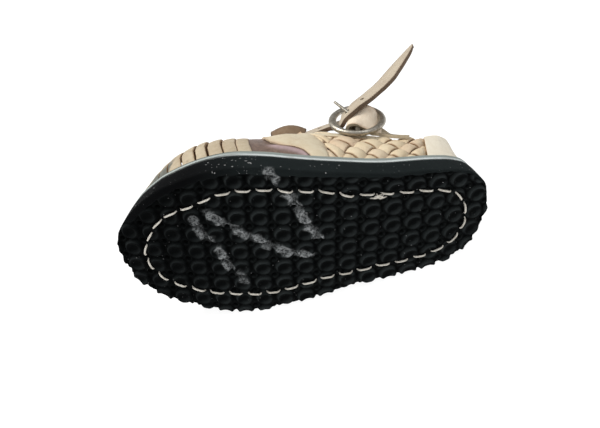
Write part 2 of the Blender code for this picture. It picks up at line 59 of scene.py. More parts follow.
ROCKER_RADIUS = 267.0
RUBBER_TOP = 8.0
# Columns: share of the length from the heel, share of half the ball width outward.
OUTLINE = [
    (1.000, -0.060), (0.996, 0.090), (0.975, 0.260), (0.930, 0.490), (0.880, 0.665), (0.850, 0.750),
    (0.790, 0.870), (0.730, 0.955), (0.660, 0.998), (0.580, 0.970), (0.530, 0.930), (0.480, 0.888),
    (0.430, 0.847), (0.380, 0.808), (0.330, 0.765), (0.270, 0.722), (0.220, 0.700), (0.164, 0.672),
    (0.107, 0.626), (0.077, 0.585), (0.046, 0.520), (0.012, 0.350), (0.000, 0.100), (0.003, -0.060),
    (0.011, -0.210), (0.025, -0.330), (0.051, -0.470), (0.081, -0.555), (0.109, -0.606),
    (0.169, -0.645), (0.227, -0.665), (0.285, -0.690), (0.342, -0.715), (0.400, -0.757),
    (0.456, -0.813), (0.513, -0.873), (0.570, -0.932), (0.628, -0.980), (0.685, -0.998),
    (0.741, -0.978), (0.797, -0.925), (0.853, -0.858), (0.906, -0.755), (0.956, -0.598),
    (0.979, -0.470), (0.994, -0.280),
]
STUD_PITCH = 7.5
STUD_TURN = math.radians(2.86)
STUD_ORIGIN = (0.39, -7.79)
TREAD_DEPTH = 1.35
# Depth of the cup-shaped stud below its rim at distances from its middle, in mm
STUD_PROFILE = [(0, 0.80), (1.2, 0.72), (1.9, 0.34), (2.35, 0.02), (2.75, 0.04), (3.1, 0.60),
                (3.5, TREAD_DEPTH)]
HOLE_PROFILE = [(0, 2.5), (0.60, 2.4), (0.88, 1.25), (1.15, 1.0), (1.5, 1.0), (2.1, TREAD_DEPTH)]
# Width of the smooth margin along the outer edge, in mm, at places along the sole
SMOOTH_MARGIN = [(-50, 1.1), (-20, 1.6), (5, 2.7), (50, 2.9)]
STITCH_GROOVE = 0.75
# Chalky scuffs on the flat sole: the way of each, in mm, and its strength
SCUFFS = [
    ([(33.2, 11.8), (31.7, 7.1), (30.4, 4.9), (28.6, 3.2)], 0.75),
    ([(26.6, -1.6), (24.5, -6.7), (23.2, -9.8)], 0.9),
    ([(21.0, -12.4), (19.6, -16.8)], 0.6),
    ([(28.6, 14.4), (24.0, 11.2), (20.5, 8.1), (15.9, 4.3), (11.8, 1.8), (7.0, -1.4), (2.0, -4.2),
      (-3.0, -6.2), (-5.4, -7.0)], 0.9),
    ([(7.0, 29.6), (5.9, 28.2), (4.6, 26.8)], 0.8),
    ([(0.9, 20.2), (-0.5, 16.4), (-2.2, 13.3), (-4.3, 9.7), (-6.0, 4.7), (-7.4, 1.6)], 1.0),
]
STITCH_LINE = [
    (18.6, 23.1), (13.4, 23.1), (7.0, 22.9), (0.8, 21.7), (-6.5, 20.8), (-12.9, 19.6), (-19.0, 17.3),
    (-24.9, 16.9), (-33.9, 15.7), (-39.1, 15.1), (-45.9, 14.2), (-52.0, 12.7), (-56.3, 10.2),
    (-59.2, 5.9), (-60.4, 0.8), (-60.0, -4.2), (-58.0, -8.3), (-54.7, -11.6), (-48.0, -14.1),
    (-41.4, -14.9), (-34.9, -15.5), (-28.8, -15.5), (-22.5, -16.4), (-16.1, -17.1), (-9.1, -17.9),
    (-2.4, -19.9), (4.5, -21.7), (11.4, -23.0), (18.5, -23.1), (25.2, -22.4), (32.4, -21.6),
    (38.5, -19.7), (44.3, -17.5), (48.9, -14.0), (51.8, -9.3), (52.6, -2.8), (50.0, 3.5),
    (46.8, 8.9), (41.7, 13.6), (36.2, 16.2), (31.0, 18.3), (25.5, 21.2),
]


class Signal:
    """A socket of a shader, with arithmetic on it."""

    def __init__(self, tree, socket):
        self.tree, self.socket = tree, socket

    def math(self, operation, first, second):
        return node(self.tree, "ShaderNodeMath", {"operation": operation}, {0: first, 1: second})

    def __add__(self, other):
        return self.math("ADD", self, other)

    def __sub__(self, other):
        return self.math("SUBTRACT", self, other)

    def __rsub__(self, other):
        return self.math("SUBTRACT", other, self)

    def __mul__(self, other):
        return self.math("MULTIPLY", self, other)

    def __pow__(self, other):
        return self.math("POWER", self, other)

    def clamp(self, low, high):
        """From 0 at low to 1 at high."""
        return node(self.tree, "ShaderNodeMapRange", {"interpolation_type": "SMOOTHSTEP"},
                    {"Value": self, "From Min": low, "From Max": high})

    __radd__, __rmul__ = __add__, __mul__


def node(tree, kind, settings=None, sockets=None, out=0):
    """Adds a node, sets it, then fills its sockets with values or links."""
    made = tree.nodes.new(kind)
    for key, value in (settings or {}).items():
        if key == "stops":
            ramp = made.color_ramp
            while len(ramp.elements) < len(value):
                ramp.elements.new(1.0)
            for element, (place, colour) in zip(ramp.elements, value):
                element.position, element.color = place, (*colour, 1.0)
        else:
            setattr(made, key, value)
    for key, value in (sockets or {}).items():
        if isinstance(value, Signal):
            tree.links.new(value.socket, made.inputs[key])
        elif isinstance(value, tuple) and len(value) == 3 and made.inputs[key].type == "RGBA":
            made.inputs[key].default_value = (*value, 1.0)
        else:
            made.inputs[key].default_value = value
    return Signal(tree, made.outputs[out])


def blank(name, **plain):
    """A new material with plain values on its shader's sockets, and its tree."""
    made = bpy.data.materials.new(name)
    made.use_nodes = True
    shader = made.node_tree.nodes["Principled BSDF"]
    for key, value in plain.items():
        shader.inputs[key.replace("_", " ")].default_value = value
    return made, made.node_tree


def connect(tree, **links):
    shader = tree.nodes["Principled BSDF"]
    for key, value in links.items():
        tree.links.new(value.socket, shader.inputs[key.replace("_", " ")])


def on_shoe(tree):
    """The shoe's own coordinates in mm, kept on each piece as an attribute."""
    return node(tree, "ShaderNodeAttribute", {"attribute_name": "shoe"}, out="Vector")


def part_of(tree, vector, axis):
    return node(tree, "ShaderNodeSeparateXYZ", {}, {0: vector}, out=axis)


def noise(tree, spot, scale, detail=4.0, rough=0.6):
    return node(tree, "ShaderNodeTexNoise", {},
                {"Vector": spot, "Scale": scale, "Detail": detail, "Roughness": rough})


def mix(tree, share, first, second):
    return node(tree, "ShaderNodeMix", {"data_type": "RGBA"},
                {"Factor": share, 6: first, 7: second}, out=2)


def bump(tree, height, strength, distance):
    return node(tree, "ShaderNodeBump", {}, {"Height": height, "Strength": strength,
                                             "Distance": distance * MM})


def attribute(tree, name):
    return node(tree, "ShaderNodeAttribute", {"attribute_name": name}, out="Fac")


def smooth_curve(points, steps):
    """Points of a spline through the given ones, with its ends kept."""
    points = np.asarray(points, float)
    ends = np.vstack([2 * points[0] - points[1], points, 2 * points[-1] - points[-2]])
    found = []
    for k in range(len(points) - 1):
        a, b, c, d = ends[k : k + 4]
        for t in np.arange(steps) / steps:
            found.append(0.5 * (2 * b + (c - a) * t + (2 * a - 5 * b + 4 * c - d) * t**2
                                + (3 * b - a - 3 * c + d) * t**3))
    return np.array(found + [points[-1]])


def closed_outline():
    share = np.array(OUTLINE)
    flat = np.column_stack([HEEL_END + share[:, 0] * SOLE_LENGTH, share[:, 1] * HALF_BALL])
    curve = smooth_curve(np.vstack([flat[-2:], flat, flat[:3]]), 10)
    curve = curve[20 : 20 + 10 * len(flat)]
    for _ in range(6):
        curve = 0.25 * np.roll(curve, 1, 0) + 0.5 * curve + 0.25 * np.roll(curve, -1, 0)
    return grown(curve, 0.35)


def grown(loop, distance):
    """The loop moved outward by a distance in mm."""
    ahead = np.roll(loop, -3, 0) - np.roll(loop, 3, 0)
    outward = np.column_stack([ahead[:, 1], -ahead[:, 0]])
    return loop + distance * outward / np.linalg.norm(outward, axis=1)[:, None]


RIM = closed_outline()


def halves(inset):
    """Outer and inner halves of the inset outline, each from the toe's end to the heel's end."""
    loop = grown(RIM, -inset)
    loop = np.roll(loop, -int(np.argmax(loop[:, 0])), 0)
    heel = int(np.argmin(loop[:, 0]))
    both = loop[: heel + 1], np.vstack([loop[:1], loop[heel:][::-1]])
    return sorted(both, key=lambda line: -line[len(line) // 2, 1])


def across_at(branch, places):
    order = np.argsort(branch[:, 0], kind="stable")
    return np.interp(places, branch[order, 0], branch[order, 1])


def bend(place, across, height):
    """From the flat sole to the rocker. All three are arrays in mm."""
    angle = place / ROCKER_RADIUS
    reach = ROCKER_RADIUS - height
    return np.stack([reach * np.sin(angle), across + 0 * angle, ROCKER_RADIUS - reach * np.cos(angle)], -1)


def spots_of(mesh):
    found = np.empty(len(mesh.vertices) * 3)
    mesh.vertices.foreach_get("co", found)
    return found.reshape(-1, 3)


def move_spots(mesh, spots):
    mesh.vertices.foreach_set("co", np.ascontiguousarray(spots, dtype=np.float64).ravel())
    mesh.update()


def grid_piece(name, spots, **values):
    """A grid primitive whose corners go to these spots, an array of rows, columns and three sizes in mm.

    Each value is kept as an attribute: an array of rows and columns.
    """
    long, wide = spots.shape[0] - 1, spots.shape[1] - 1
    bpy.ops.object.select_all(action="DESELECT")
    bpy.ops.mesh.primitive_grid_add(x_subdivisions=long, y_subdivisions=wide, size=2)
    made = bpy.context.object
    made.name = made.data.name = name
    flat = spots_of(made.data)
    i = np.rint((flat[:, 0] + 1) / 2 * long).astype(int)
    j = np.rint((flat[:, 1] + 1) / 2 * wide).astype(int)
    move_spots(made.data, spots[i, j] * MM)
    for key, value in values.items():
        store(made.data, key, value[i, j])
    return made


def select_only(made):
    bpy.ops.object.select_all(action="DESELECT")
    bpy.context.view_layer.objects.active = made
    made.select_set(True)


def apply_modifiers(made):
    select_only(made)
    for change in list(made.modifiers):
        bpy.ops.object.modifier_apply(modifier=change.name)


def edit(made, *steps):
    """Runs edit operators, given as pairs of an operator and its options, on the piece alone."""
    select_only(made)
    bpy.ops.object.mode_set(mode="EDIT")
    for operator, options in steps:
        operator(**options)
    bpy.ops.object.mode_set(mode="OBJECT")


def store(mesh, name, values):
    """Keeps a number or a vector for each corner point of the mesh."""
    kind = "FLOAT_VECTOR" if values.ndim == 2 else "FLOAT"
    layer = mesh.attributes.get(name) or mesh.attributes.new(name, kind, "POINT")
    layer.data.foreach_set("vector" if values.ndim == 2 else "value", values.astype(np.float32).ravel())


def lay_down(made, slot, *materials, sharp=50.0, stands_for=()):
    """Applies the modifiers, turns the piece to the way the shoe lies and gives it its finish."""
    for material in materials:
        made.data.materials.append(material)
    apply_modifiers(made)
    store(made.data, "shoe", spots_of(made.data) / MM)
    made.data.transform(LYING)
    bpy.ops.object.shade_smooth_by_angle(angle=math.radians(sharp))
    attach(made, "root")
    if stands_for:
        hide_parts(*stands_for)


def tread_depth(place, across):
    """Depth of the tread below the rims of its studs."""
    x, y = place - STUD_ORIGIN[0], across - STUD_ORIGIN[1]
    i = (x * math.cos(STUD_TURN) + y * math.sin(STUD_TURN)) / STUD_PITCH
    j = (y * math.cos(STUD_TURN) - x * math.sin(STUD_TURN)) / STUD_PITCH
    to_stud = np.hypot(i - np.floor(i) - 0.5, j - np.floor(j) - 0.5) * STUD_PITCH
    to_hole = np.hypot(i - np.rint(i), j - np.rint(j)) * STUD_PITCH
    stud = np.interp(to_stud, *np.array(STUD_PROFILE).T)
    hole = np.interp(to_hole, *np.array(HOLE_PROFILE).T)
    return np.where(to_hole < 0.95, hole, np.minimum(np.minimum(stud, hole), TREAD_DEPTH))


def distance_to_way(spots, way):
    """Distance from each spot on the flat sole to a broken line."""
    nearest = np.full(len(spots), 1e9)
    for a, b in zip(np.array(way)[:-1], np.array(way)[1:]):
        share = np.clip((spots - a) @ (b - a) / ((b - a) @ (b - a)), 0, 1)
        nearest = np.minimum(nearest, np.linalg.norm(spots - a - share[:, None] * (b - a), axis=1))
    return nearest


STITCH_WAY = smooth_curve(STITCH_LINE + STITCH_LINE[:1], 12)


def sole_grid(inset, along, across):
    """Places along and across the flat sole on a grid that fills the outline."""
    outer, inner = halves(inset)
    low, high = outer[:, 0].min() + 0.06, outer[:, 0].max() - 0.06
    step = np.arange(along + 1) / along
    places = low + (high - low) * (0.30 * (0.5 - 0.5 * np.cos(np.pi * step)) + 0.70 * step)
    share = np.arange(across + 1) / across
    one, two = across_at(outer, places), across_at(inner, places)
    return np.repeat(places[:, None], across + 1, 1), two[:, None] + (one - two)[:, None] * share


place, across = sole_grid(0.0, 380, 184)
depth = tread_depth(place, across)
flat = np.column_stack([place.ravel(), across.ravel()])
near_stitch = distance_to_way(flat, STITCH_WAY).reshape(place.shape)
from_edge = distance_to_way(flat, np.vstack([RIM[::3], RIM[:1]])).reshape(place.shape)
outer_side = np.clip((across - 7.0) / 6.0, 0, 1)
margin = np.interp(place, *np.array(SMOOTH_MARGIN).T)
plain = outer_side * np.clip((margin - from_edge) / 0.8, 0, 1)
depth = depth * (1 - plain) + plain * 0.5 * np.clip(1 - from_edge / 1.4, 0, 1) ** 2
depth = np.maximum(depth, STITCH_GROOVE * np.clip(1.25 - near_stitch, 0, 1) ** 0.5)
# Painted highlight: the tread's slopes that face the light from above and to one side are kept here, and
# the rubber's colour is lightened on them.
slope = np.gradient(depth, axis=0) / np.gradient(place, axis=0) * 0.5
slope = slope + 0.85 * np.gradient(depth, axis=1) / np.gradient(across, axis=1)
outsole = grid_piece("outsole_rubber", np.stack([place, across, depth], -1),
                     ledge=np.clip(slope * 1.3, 0, 1) * (1 - plain), plain=plain)


# The side wall is drawn up from the edge in rings, then closed on top.
def draw_up(made, rings):
    """Extrudes the open edge to each ring's height, outward by its growth."""
    count = len(made.data.vertices)
    open_edge = [(bpy.ops.mesh.select_mode, {"type": "EDGE"}),
                 (bpy.ops.mesh.select_all, {"action": "DESELECT"}),
                 (bpy.ops.mesh.select_non_manifold, {
                     "extend": False, "use_boundary": True, "use_wire": False,
                     "use_multi_face": False, "use_non_contiguous": False, "use_verts": False})]
    for height, growth in rings:
        edit(made, *open_edge, (bpy.ops.mesh.extrude_region_move, {}))
        spots = spots_of(made.data) / MM
        fresh = np.arange(count, len(spots))
        spots[fresh, 2] = height
        away = np.zeros((len(fresh), 2))
        for k, spot in enumerate(spots[fresh, :2]):
            nearest = int(np.argmin(np.sum((RIM - spot) ** 2, 1)))
            ahead = RIM[(nearest + 2) % len(RIM)] - RIM[nearest - 2]
            away[k] = np.array([ahead[1], -ahead[0]]) / np.linalg.norm(ahead)
        spots[fresh, :2] += growth * away
        move_spots(made.data, spots * MM)
        count = len(spots)
    edit(made, *open_edge, (bpy.ops.mesh.edge_face_add, {}),
         (bpy.ops.mesh.select_all, {"action": "SELECT"}),
         (bpy.ops.mesh.normals_make_consistent, {"inside": False}))


draw_up(outsole, [(1.75, 0.0), (2.1, 0.0), (3.6, 0.0), (5.4, -0.02), (6.8, -0.04), (7.55, -0.12),
                  (RUBBER_TOP, -0.35)])
spots = spots_of(outsole.data) / MM
chalk = np.zeros(len(spots))
ripple = np.random.default_rng(7).uniform(0, 2 * np.pi, 2)
for way, strength in SCUFFS:
    apart = distance_to_way(spots[:, :2], smooth_curve(way, 6))
    width = 2.15 + 0.55 * np.sin(spots[:, 0] * 0.9 + ripple[0])
    width = width + 0.35 * np.sin(spots[:, 1] * 1.7 + ripple[1])
    soft = np.clip((width - apart) / 0.9, 0, 1)
    chalk = np.maximum(chalk, strength * soft * np.clip(1.25 - spots[:, 2] * 0.7, 0.5, 1.0))
chalk[spots[:, 2] > 1.8] = 0
store(outsole.data, "chalk", chalk)
drawn_up = np.arange(len(spots)) >= place.size
# Painted shade: the deeper a spot of the tread lies, the darker its colour is made, in the cups, holes and
# grooves.
store(outsole.data, "hollow", np.where(drawn_up, 0.0, np.clip(spots[:, 2] / 1.5, 0, 1)))
store(outsole.data, "wall", np.where(drawn_up & ((spots[:, 2] > 1.8) | (spots[:, 1] > 10)), 1.0, 0.0))
move_spots(outsole.data, bend(*spots.T) * MM)

black_rubber, tree = blank("black_rubber", Specular_IOR_Level=0.025)
shoe = on_shoe(tree)
wall = (attribute(tree, "wall") + attribute(tree, "plain")).clamp(0.0, 1.0)
hollow, chalk, ledge = attribute(tree, "hollow"), attribute(tree, "chalk"), attribute(tree, "ledge")
fine = noise(tree, shoe, 2.6, 6.0, 0.7)
patches = noise(tree, shoe, 0.12, 3.0, 0.5)
forward = part_of(tree, shoe, "X")
dusted = wall * forward.clamp(4.0, 13.0) * (1.0 - forward.clamp(22.0, 30.0))
specks = (noise(tree, shoe, 1.15, 1.0, 0.4) + 0.03 * wall + 0.06 * dusted).clamp(0.775, 0.80)
dusty = (fine.clamp(0.35, 0.8) * patches.clamp(0.3, 0.75) * (0.35 + 0.65 * wall)).clamp(0.0, 1.0)
base = mix(tree, wall, (0.0022, 0.0028, 0.0030), (0.0115, 0.0150, 0.0155))
base = mix(tree, forward.clamp(6.0, 34.0) * 0.95 * wall, base, (0.0014, 0.0014, 0.0018))
# Painted highlight: the slopes turned toward the light are lightened, less so towards the toe.
lit = ledge * (0.35 + 0.65 * fine) * (0.9 - 0.55 * forward.clamp(10.0, 45.0))
base = mix(tree, lit, base, (0.060, 0.070, 0.071))
# Painted shade darkens the deep parts of the tread.
base = mix(tree, hollow * 0.8, base, (0.001, 0.0012, 0.0012))
base = mix(tree, dusty * 0.25 * (1.0 - 0.75 * forward.clamp(6.0, 34.0)), base, (0.055, 0.065, 0.066))
base = mix(tree, specks * 0.5, base, (0.42, 0.42, 0.42))
streaks = noise(tree, shoe, 1.1, 5.0, 0.75).clamp(0.34, 0.62)
base = mix(tree, (chalk * (0.15 + 0.85 * streaks)).clamp(0.0, 1.1), base, (0.33, 0.345, 0.35))
connect(tree, Base_Color=base, Roughness=0.60 + 0.25 * fine,
        Normal=bump(tree, fine + 0.6 * noise(tree, shoe, 0.9, 3.0, 0.5), 0.35, 0.25))
lay_down(outsole, "outsole", black_rubber, sharp=60.0, stands_for=["outsole"])

# Stitches of the sole
# Off-white waxed thread in long running stitches that press into the tread and dive through it at
# both ends. Where the thread is tied off its frayed ends stick out in a tuft.
STITCHES = 39
THREAD_RADIUS = 0.32


def tube(name, ways, radii, sides=8):
    """Round tubes along ways of points in mm, with a radius at each point and closed ends."""
    verts, faces = [], []
    for way, sizes in zip(ways, radii):
        way = np.asarray(way, float)
        ahead = np.gradient(way, axis=0)
        ahead /= np.linalg.norm(ahead, axis=1)[:, None]
        side = np.cross(ahead[0], (0.3, 0.2, 0.9))
        start = len(verts)
        for k, spot in enumerate(way):
            side = side - ahead[k] * (side @ ahead[k])
            side /= np.linalg.norm(side)
            over = np.cross(ahead[k], side)
            for t in 2 * np.pi * np.arange(sides) / sides:
                verts.append(spot + sizes[k] * (math.cos(t) * side + math.sin(t) * over))
        for k in range(len(way) - 1):
            for t in range(sides):
                a, b = start + k * sides + t, start + k * sides + (t + 1) % sides
                faces.append((a, b, b + sides, a + sides))
        faces.append([start + t for t in range(sides)][::-1])
        faces.append([start + (len(way) - 1) * sides + t for t in range(sides)])
    mesh = bpy.data.meshes.new(name)
    mesh.from_pydata([tuple(v * MM) for v in verts], [], faces)
    made = bpy.data.objects.new(name, mesh)
    bpy.context.scene.collection.objects.link(made)
    edit(made, (bpy.ops.mesh.select_all, {"action": "SELECT"}),
         (bpy.ops.mesh.normals_make_consistent, {"inside": False}))
    return made


def run_along(line):
    """Length of the line from its start to each of its points."""
    return np.concatenate([[0], np.cumsum(np.linalg.norm(np.diff(line, axis=0), axis=1))])


run = run_along(STITCH_WAY)
seed = np.random.default_rng(11)
ways, radii = [], []
for k in range(STITCHES):
    reach = 0.74 + 0.05 * seed.uniform(-1, 1)
    along = (k + 0.5 + reach * np.linspace(-0.5, 0.5, 11)) / STITCHES * run[-1]
    x, y = np.interp(along, run, STITCH_WAY[:, 0]), np.interp(along, run, STITCH_WAY[:, 1])
    lean = 0.35 * seed.uniform(0.3, 1.0) * np.linspace(-1, 1, 11)
    ahead = np.gradient(np.column_stack([x, y]), axis=0)
    ahead /= np.linalg.norm(ahead, axis=1)[:, None]
    x, y = x - ahead[:, 1] * lean, y + ahead[:, 0] * lean
    arch = np.linspace(-1, 1, 11)
    sunk = 0.10 + 1.1 * np.abs(arch) ** 5
    ways.append(bend(x, y, sunk))
    radii.append(THREAD_RADIUS * (1.08 - 0.35 * np.abs(arch) ** 3))
for k in range(16):
    turn = math.radians(seed.uniform(-75, 75)) + (math.pi if k % 2 else 0)
    reach = seed.uniform(1.2, 3.4)
    share = np.linspace(0, 1, 7)
    curl = turn + seed.uniform(-0.8, 0.8) * share
    x = -28.5 + 0.8 * seed.uniform(-1, 1) + reach * share * np.cos(curl)
    y = 15.6 + 0.5 * seed.uniform(-1, 1) + 0.5 * reach * share * np.sin(curl)
    ways.append(bend(x, y, -0.1 - 0.5 * seed.uniform(0.3, 1.0) * np.sin(np.pi * share) + 0.3 * share))
    radii.append(0.20 * (1 - 0.65 * share))
stitching = tube("sole_stitching", ways, radii)
waxed_thread, tree = blank("waxed_thread", Roughness=0.75)
shoe = on_shoe(tree)
strands = node(tree, "ShaderNodeTexWave", {"wave_type": "BANDS", "bands_direction": "DIAGONAL"},
               {"Vector": shoe, "Scale": 1.3, "Distortion": 1.2})
grime = noise(tree, shoe, 0.8, 4.0, 0.6).clamp(0.35, 0.75)
connect(tree, Base_Color=mix(tree, grime * 0.55, (0.80, 0.76, 0.68), (0.40, 0.36, 0.29)),
        Normal=bump(tree, strands, 0.6, 0.15))
lay_down(stitching, "outsole", waxed_thread)

# Foam midsole
# A thin layer of pale grey foam between the rubber and the leather. Its lower edge is rubbed white
# where it was trimmed with the rubber.
place, across = sole_grid(0.35, 150, 24)
midsole = grid_piece("midsole_foam", np.stack([place, across, 0 * place + 8.25], -1))
draw_up(midsole, [(8.5, 0.0), (9.1, 0.08), (9.9, 0.03), (10.5, -0.05), (10.8, -0.20)])
spots = spots_of(midsole.data) / MM
store(midsole.data, "rise", np.clip((spots[:, 2] - 8.25) / 2.55, 0, 1))
move_spots(midsole.data, bend(*spots.T) * MM)
pale_foam, tree = blank("pale_foam")
shoe, rise = on_shoe(tree), attribute(tree, "rise")
grain = noise(tree, shoe, 1.6, 5.0, 0.7)
band = node(tree, "ShaderNodeValToRGB",
            {"stops": [(0.0, (0.56, 0.61, 0.60)), (0.26, (0.52, 0.56, 0.56)), (0.40, (0.21, 0.245, 0.235)),
                       (0.85, (0.24, 0.27, 0.245)), (1.0, (0.06, 0.06, 0.05))]},
            {"Fac": rise + 0.16 * (grain - 0.5)})
toe_band = node(tree, "ShaderNodeValToRGB",
                {"stops": [(0.0, (0.030, 0.034, 0.034)), (0.22, (0.035, 0.040, 0.040)),
                           (0.32, (0.36, 0.40, 0.385)), (0.58, (0.33, 0.37, 0.35)),
                           (0.70, (0.085, 0.095, 0.085)), (1.0, (0.05, 0.055, 0.05))]},
                {"Fac": rise + 0.16 * (grain - 0.5)})
forward = part_of(tree, shoe, "X")
band = mix(tree, forward.clamp(8.0, 26.0), band, toe_band)
grubby = noise(tree, shoe, 0.25, 4.0, 0.6).clamp(0.45, 0.8)
connect(tree, Base_Color=mix(tree, grubby * 0.5, band, (0.24, 0.25, 0.23)), Roughness=0.75 + 0.2 * grain,
        Normal=bump(tree, grain, 0.5, 0.3))
lay_down(midsole, "midsole", pale_foam, stands_for=["midsole"])

# Leather footbed
# A smooth tan insole glued inside the upper, darkened by the foot.
place, across = sole_grid(5.1, 110, 30)
insole = grid_piece("footbed_leather", np.stack([place, across, 0 * place + 11.25], -1))
draw_up(insole, [(11.4, 0.12), (12.4, 0.12), (12.7, -0.15)])
spots = spots_of(insole.data) / MM
move_spots(insole.data, bend(*spots.T) * MM)


def leather(name, pale, deep, stain, stain_share=0.35, rough=0.62, edges=0.0, edge_colour=None):
    """Vegetable-tanned leather: blotches, pores, creases, and edges that wear and darken."""
    made, tree = blank(name, Specular_IOR_Level=0.35)
    shoe = on_shoe(tree)
    blotch = noise(tree, shoe, 0.09, 3.0, 0.55).clamp(0.32, 0.68)
    mottle = noise(tree, shoe, 0.55, 5.0, 0.65).clamp(0.30, 0.72)
    pores = node(tree, "ShaderNodeTexVoronoi", {"feature": "SMOOTH_F1"},
                 {"Vector": shoe, "Scale": 1.5, "Smoothness": 0.6})
    creases = noise(tree, shoe, 1.4, 6.0, 0.75)
    base = mix(tree, blotch * 0.6 + mottle * 0.4, pale, deep)
    base = mix(tree, noise(tree, shoe, 0.22, 6.0, 0.7).clamp(0.55, 0.75) * stain_share, base, stain)
    base = mix(tree, creases.clamp(0.62, 0.80) * 0.35, base, stain)
    if edges:
        uv = node(tree, "ShaderNodeUVMap", {"uv_map": "UVMap"})
        aside = part_of(tree, uv, "Y")
        to_edge = ((aside - 0.5) * 2.0) ** 2.0
        worn = (to_edge ** 1.6 + 0.25 * (creases - 0.5)).clamp(0.40, 1.0)
        base = mix(tree, worn * edges, base, edge_colour or stain)
    connect(tree, Base_Color=base, Roughness=(rough - 0.08) + 0.22 * mottle,
            Normal=bump(tree, pores * 0.35 + creases * 0.9, 0.45, 0.35))
    return made


footbed = leather("footbed_leather", (0.50, 0.34, 0.19), (0.36, 0.23, 0.12), (0.16, 0.10, 0.06), 0.6)
lay_down(insole, "insole", footbed, stands_for=["insole"])

# The form that the upper was woven over: its surface, from the sole's edge to the ridge or collar
# Columns: share of the length at the foot of a line up the upper, share of the length at its top,
# share of the foot's own distance from the middle, share of the height.
FEATHER_HEIGHT = 11.2
UPPER_HEIGHT = 34.0
THROAT_FOOT = 0.4643
TOP_LINE = [
    (0.9754, 0.8634, 0.00, 0.744), (0.9401, 0.8557, 0.00, 0.768), (0.8941, 0.8419, 0.00, 0.806),
    (0.8327, 0.8143, 0.00, 0.882), (0.7713, 0.7759, 0.00, 0.953), (0.6946, 0.7176, 0.00, 0.994),
    (0.6178, 0.6600, 0.00, 1.000), (0.5411, 0.6209, 0.00, 0.991), (0.4643, 0.5871, 0.00, 0.982),
    (0.4451, 0.5672, 0.27, 0.965), (0.4259, 0.5365, 0.55, 0.900), (0.4029, 0.4919, 0.77, 0.806),
    (0.3722, 0.4413, 0.88, 0.718), (0.3262, 0.3722, 0.92, 0.659), (0.2724, 0.2955, 0.92, 0.621),
    (0.2034, 0.2126, 0.91, 0.612), (0.1420, 0.1450, 0.92, 0.647), (0.0959, 0.1005, 0.86, 0.718),
    (0.0614, 0.0760, 0.78, 0.765), (0.0230, 0.0576, 0.00, 0.806),
]
FEATHER_OUT, FEATHER_IN = halves(3.0)
RUN_OUT, RUN_IN = run_along(FEATHER_OUT), run_along(FEATHER_IN)


def share_at(x):
    """Share of the outer feather line's run from the toe, at a place along the shoe in mm."""
    return np.interp(-np.asarray(x, float), -FEATHER_OUT[:, 0], RUN_OUT) / RUN_OUT[-1]


THROAT = float(share_at(HEEL_END + THROAT_FOOT * SOLE_LENGTH))


def form(share, row, side):
    """Spots on the middle of the wall: share from toe to heel, row from the sole up, side 1 or -1."""
    share, row, side = np.broadcast_arrays(*(np.asarray(v, float) for v in (share, row, side)))
    share, row = np.clip(share, 0, 1), np.clip(row, 0, 1)
    foot = [np.where(side > 0, np.interp(share * RUN_OUT[-1], RUN_OUT, FEATHER_OUT[:, k]),
                     np.interp(share * RUN_IN[-1], RUN_IN, FEATHER_IN[:, k])) for k in (0, 1)]
    place = (np.interp(share * RUN_OUT[-1], RUN_OUT, FEATHER_OUT[:, 0]) - HEEL_END) / SOLE_LENGTH
    table = np.array(TOP_LINE)[::-1]
    top_x, top_share, top_z = (np.interp(place, table[:, 0], table[:, k]) for k in (1, 2, 3))
    top_x, top_z = HEEL_END + top_x * SOLE_LENGTH, FEATHER_HEIGHT + top_z * UPPER_HEIGHT
    top_share = np.where(share <= THROAT + 1e-9, 0.0, top_share)
    base = bend(foot[0], foot[1], FEATHER_HEIGHT)
    closed = np.clip((place - 0.357) / 0.107, 0, 1)
    closed = closed * closed * (3 - 2 * closed)
    angle = 0.5 * np.pi * row
    travel = closed * (1 - np.cos(angle) ** 0.87) + (1 - closed) * row**1.5
    rise = closed * np.sin(angle) ** 0.87 + (1 - closed) * row
    x = base[..., 0] + (top_x - base[..., 0]) * travel
    y = base[..., 1] + (top_share * base[..., 1] - base[..., 1]) * travel
    z = base[..., 2] + (top_z - base[..., 2]) * rise
    steep = base[..., 1] / np.maximum(np.hypot(0.25 * base[..., 0], base[..., 1]), 1e-6)
    return np.stack([x, y + (1 - closed) * 0.9 * np.sin(np.pi * row) * steep, z], -1)


def off_form(share, row, side, height):
    """Spots at a height over the form's middle surface, along its outward normal."""
    share, row, side, height = np.broadcast_arrays(share, row, side, height)
    e = 0.006
    a = form(np.minimum(share + e, 1), row, side) - form(np.maximum(share - e, 0), row, side)
    b = form(share, np.minimum(row + 0.04, 1), side) - form(share, np.maximum(row - 0.04, 0), side)
    out = np.cross(a, b)
    out /= np.maximum(np.linalg.norm(out, axis=-1), 1e-9)[..., None]
    spots = form(share, row, side)
    middle = np.stack([np.minimum(spots[..., 0], 35.0) * 0.85, 0 * share,
                       0 * share + FEATHER_HEIGHT + 0.2 * UPPER_HEIGHT], -1)
    wrong = np.sum(out * (spots - middle), -1) < 0
    out = np.where(wrong[..., None], -out, out)
    return spots + out * np.asarray(height)[..., None], out


def strip(name, spots, out, thick, bevel=0.28, crown=0.18, **values):
    """A strip of leather with its grain side at the spots: rounded edges, and its flesh side inward."""
    share = np.linspace(-1, 1, spots.shape[1])
    spots = spots - out * (crown * np.abs(share) ** 3)[None, :, None]
    made = grid_piece(name, spots, **values)
    normal = sum((face.normal * face.area for face in made.data.polygons), Vector())
    if normal.dot(Vector(out.mean(axis=(0, 1)))) < 0:
        made.data.flip_normals()
    shell = made.modifiers.new("thickness", "SOLIDIFY")
    shell.thickness = thick * MM
    shell.offset = -1.0
    shell.use_even_offset = False
    shell.material_offset = 1
    shell.material_offset_rim = 2
    if bevel:
        round_off = made.modifiers.new("worn_edge", "BEVEL")
        round_off.width = bevel * MM
        round_off.segments = 2
        round_off.limit_method = "ANGLE"
        round_off.angle_limit = math.radians(55)
        round_off.harden_normals = False
    return made


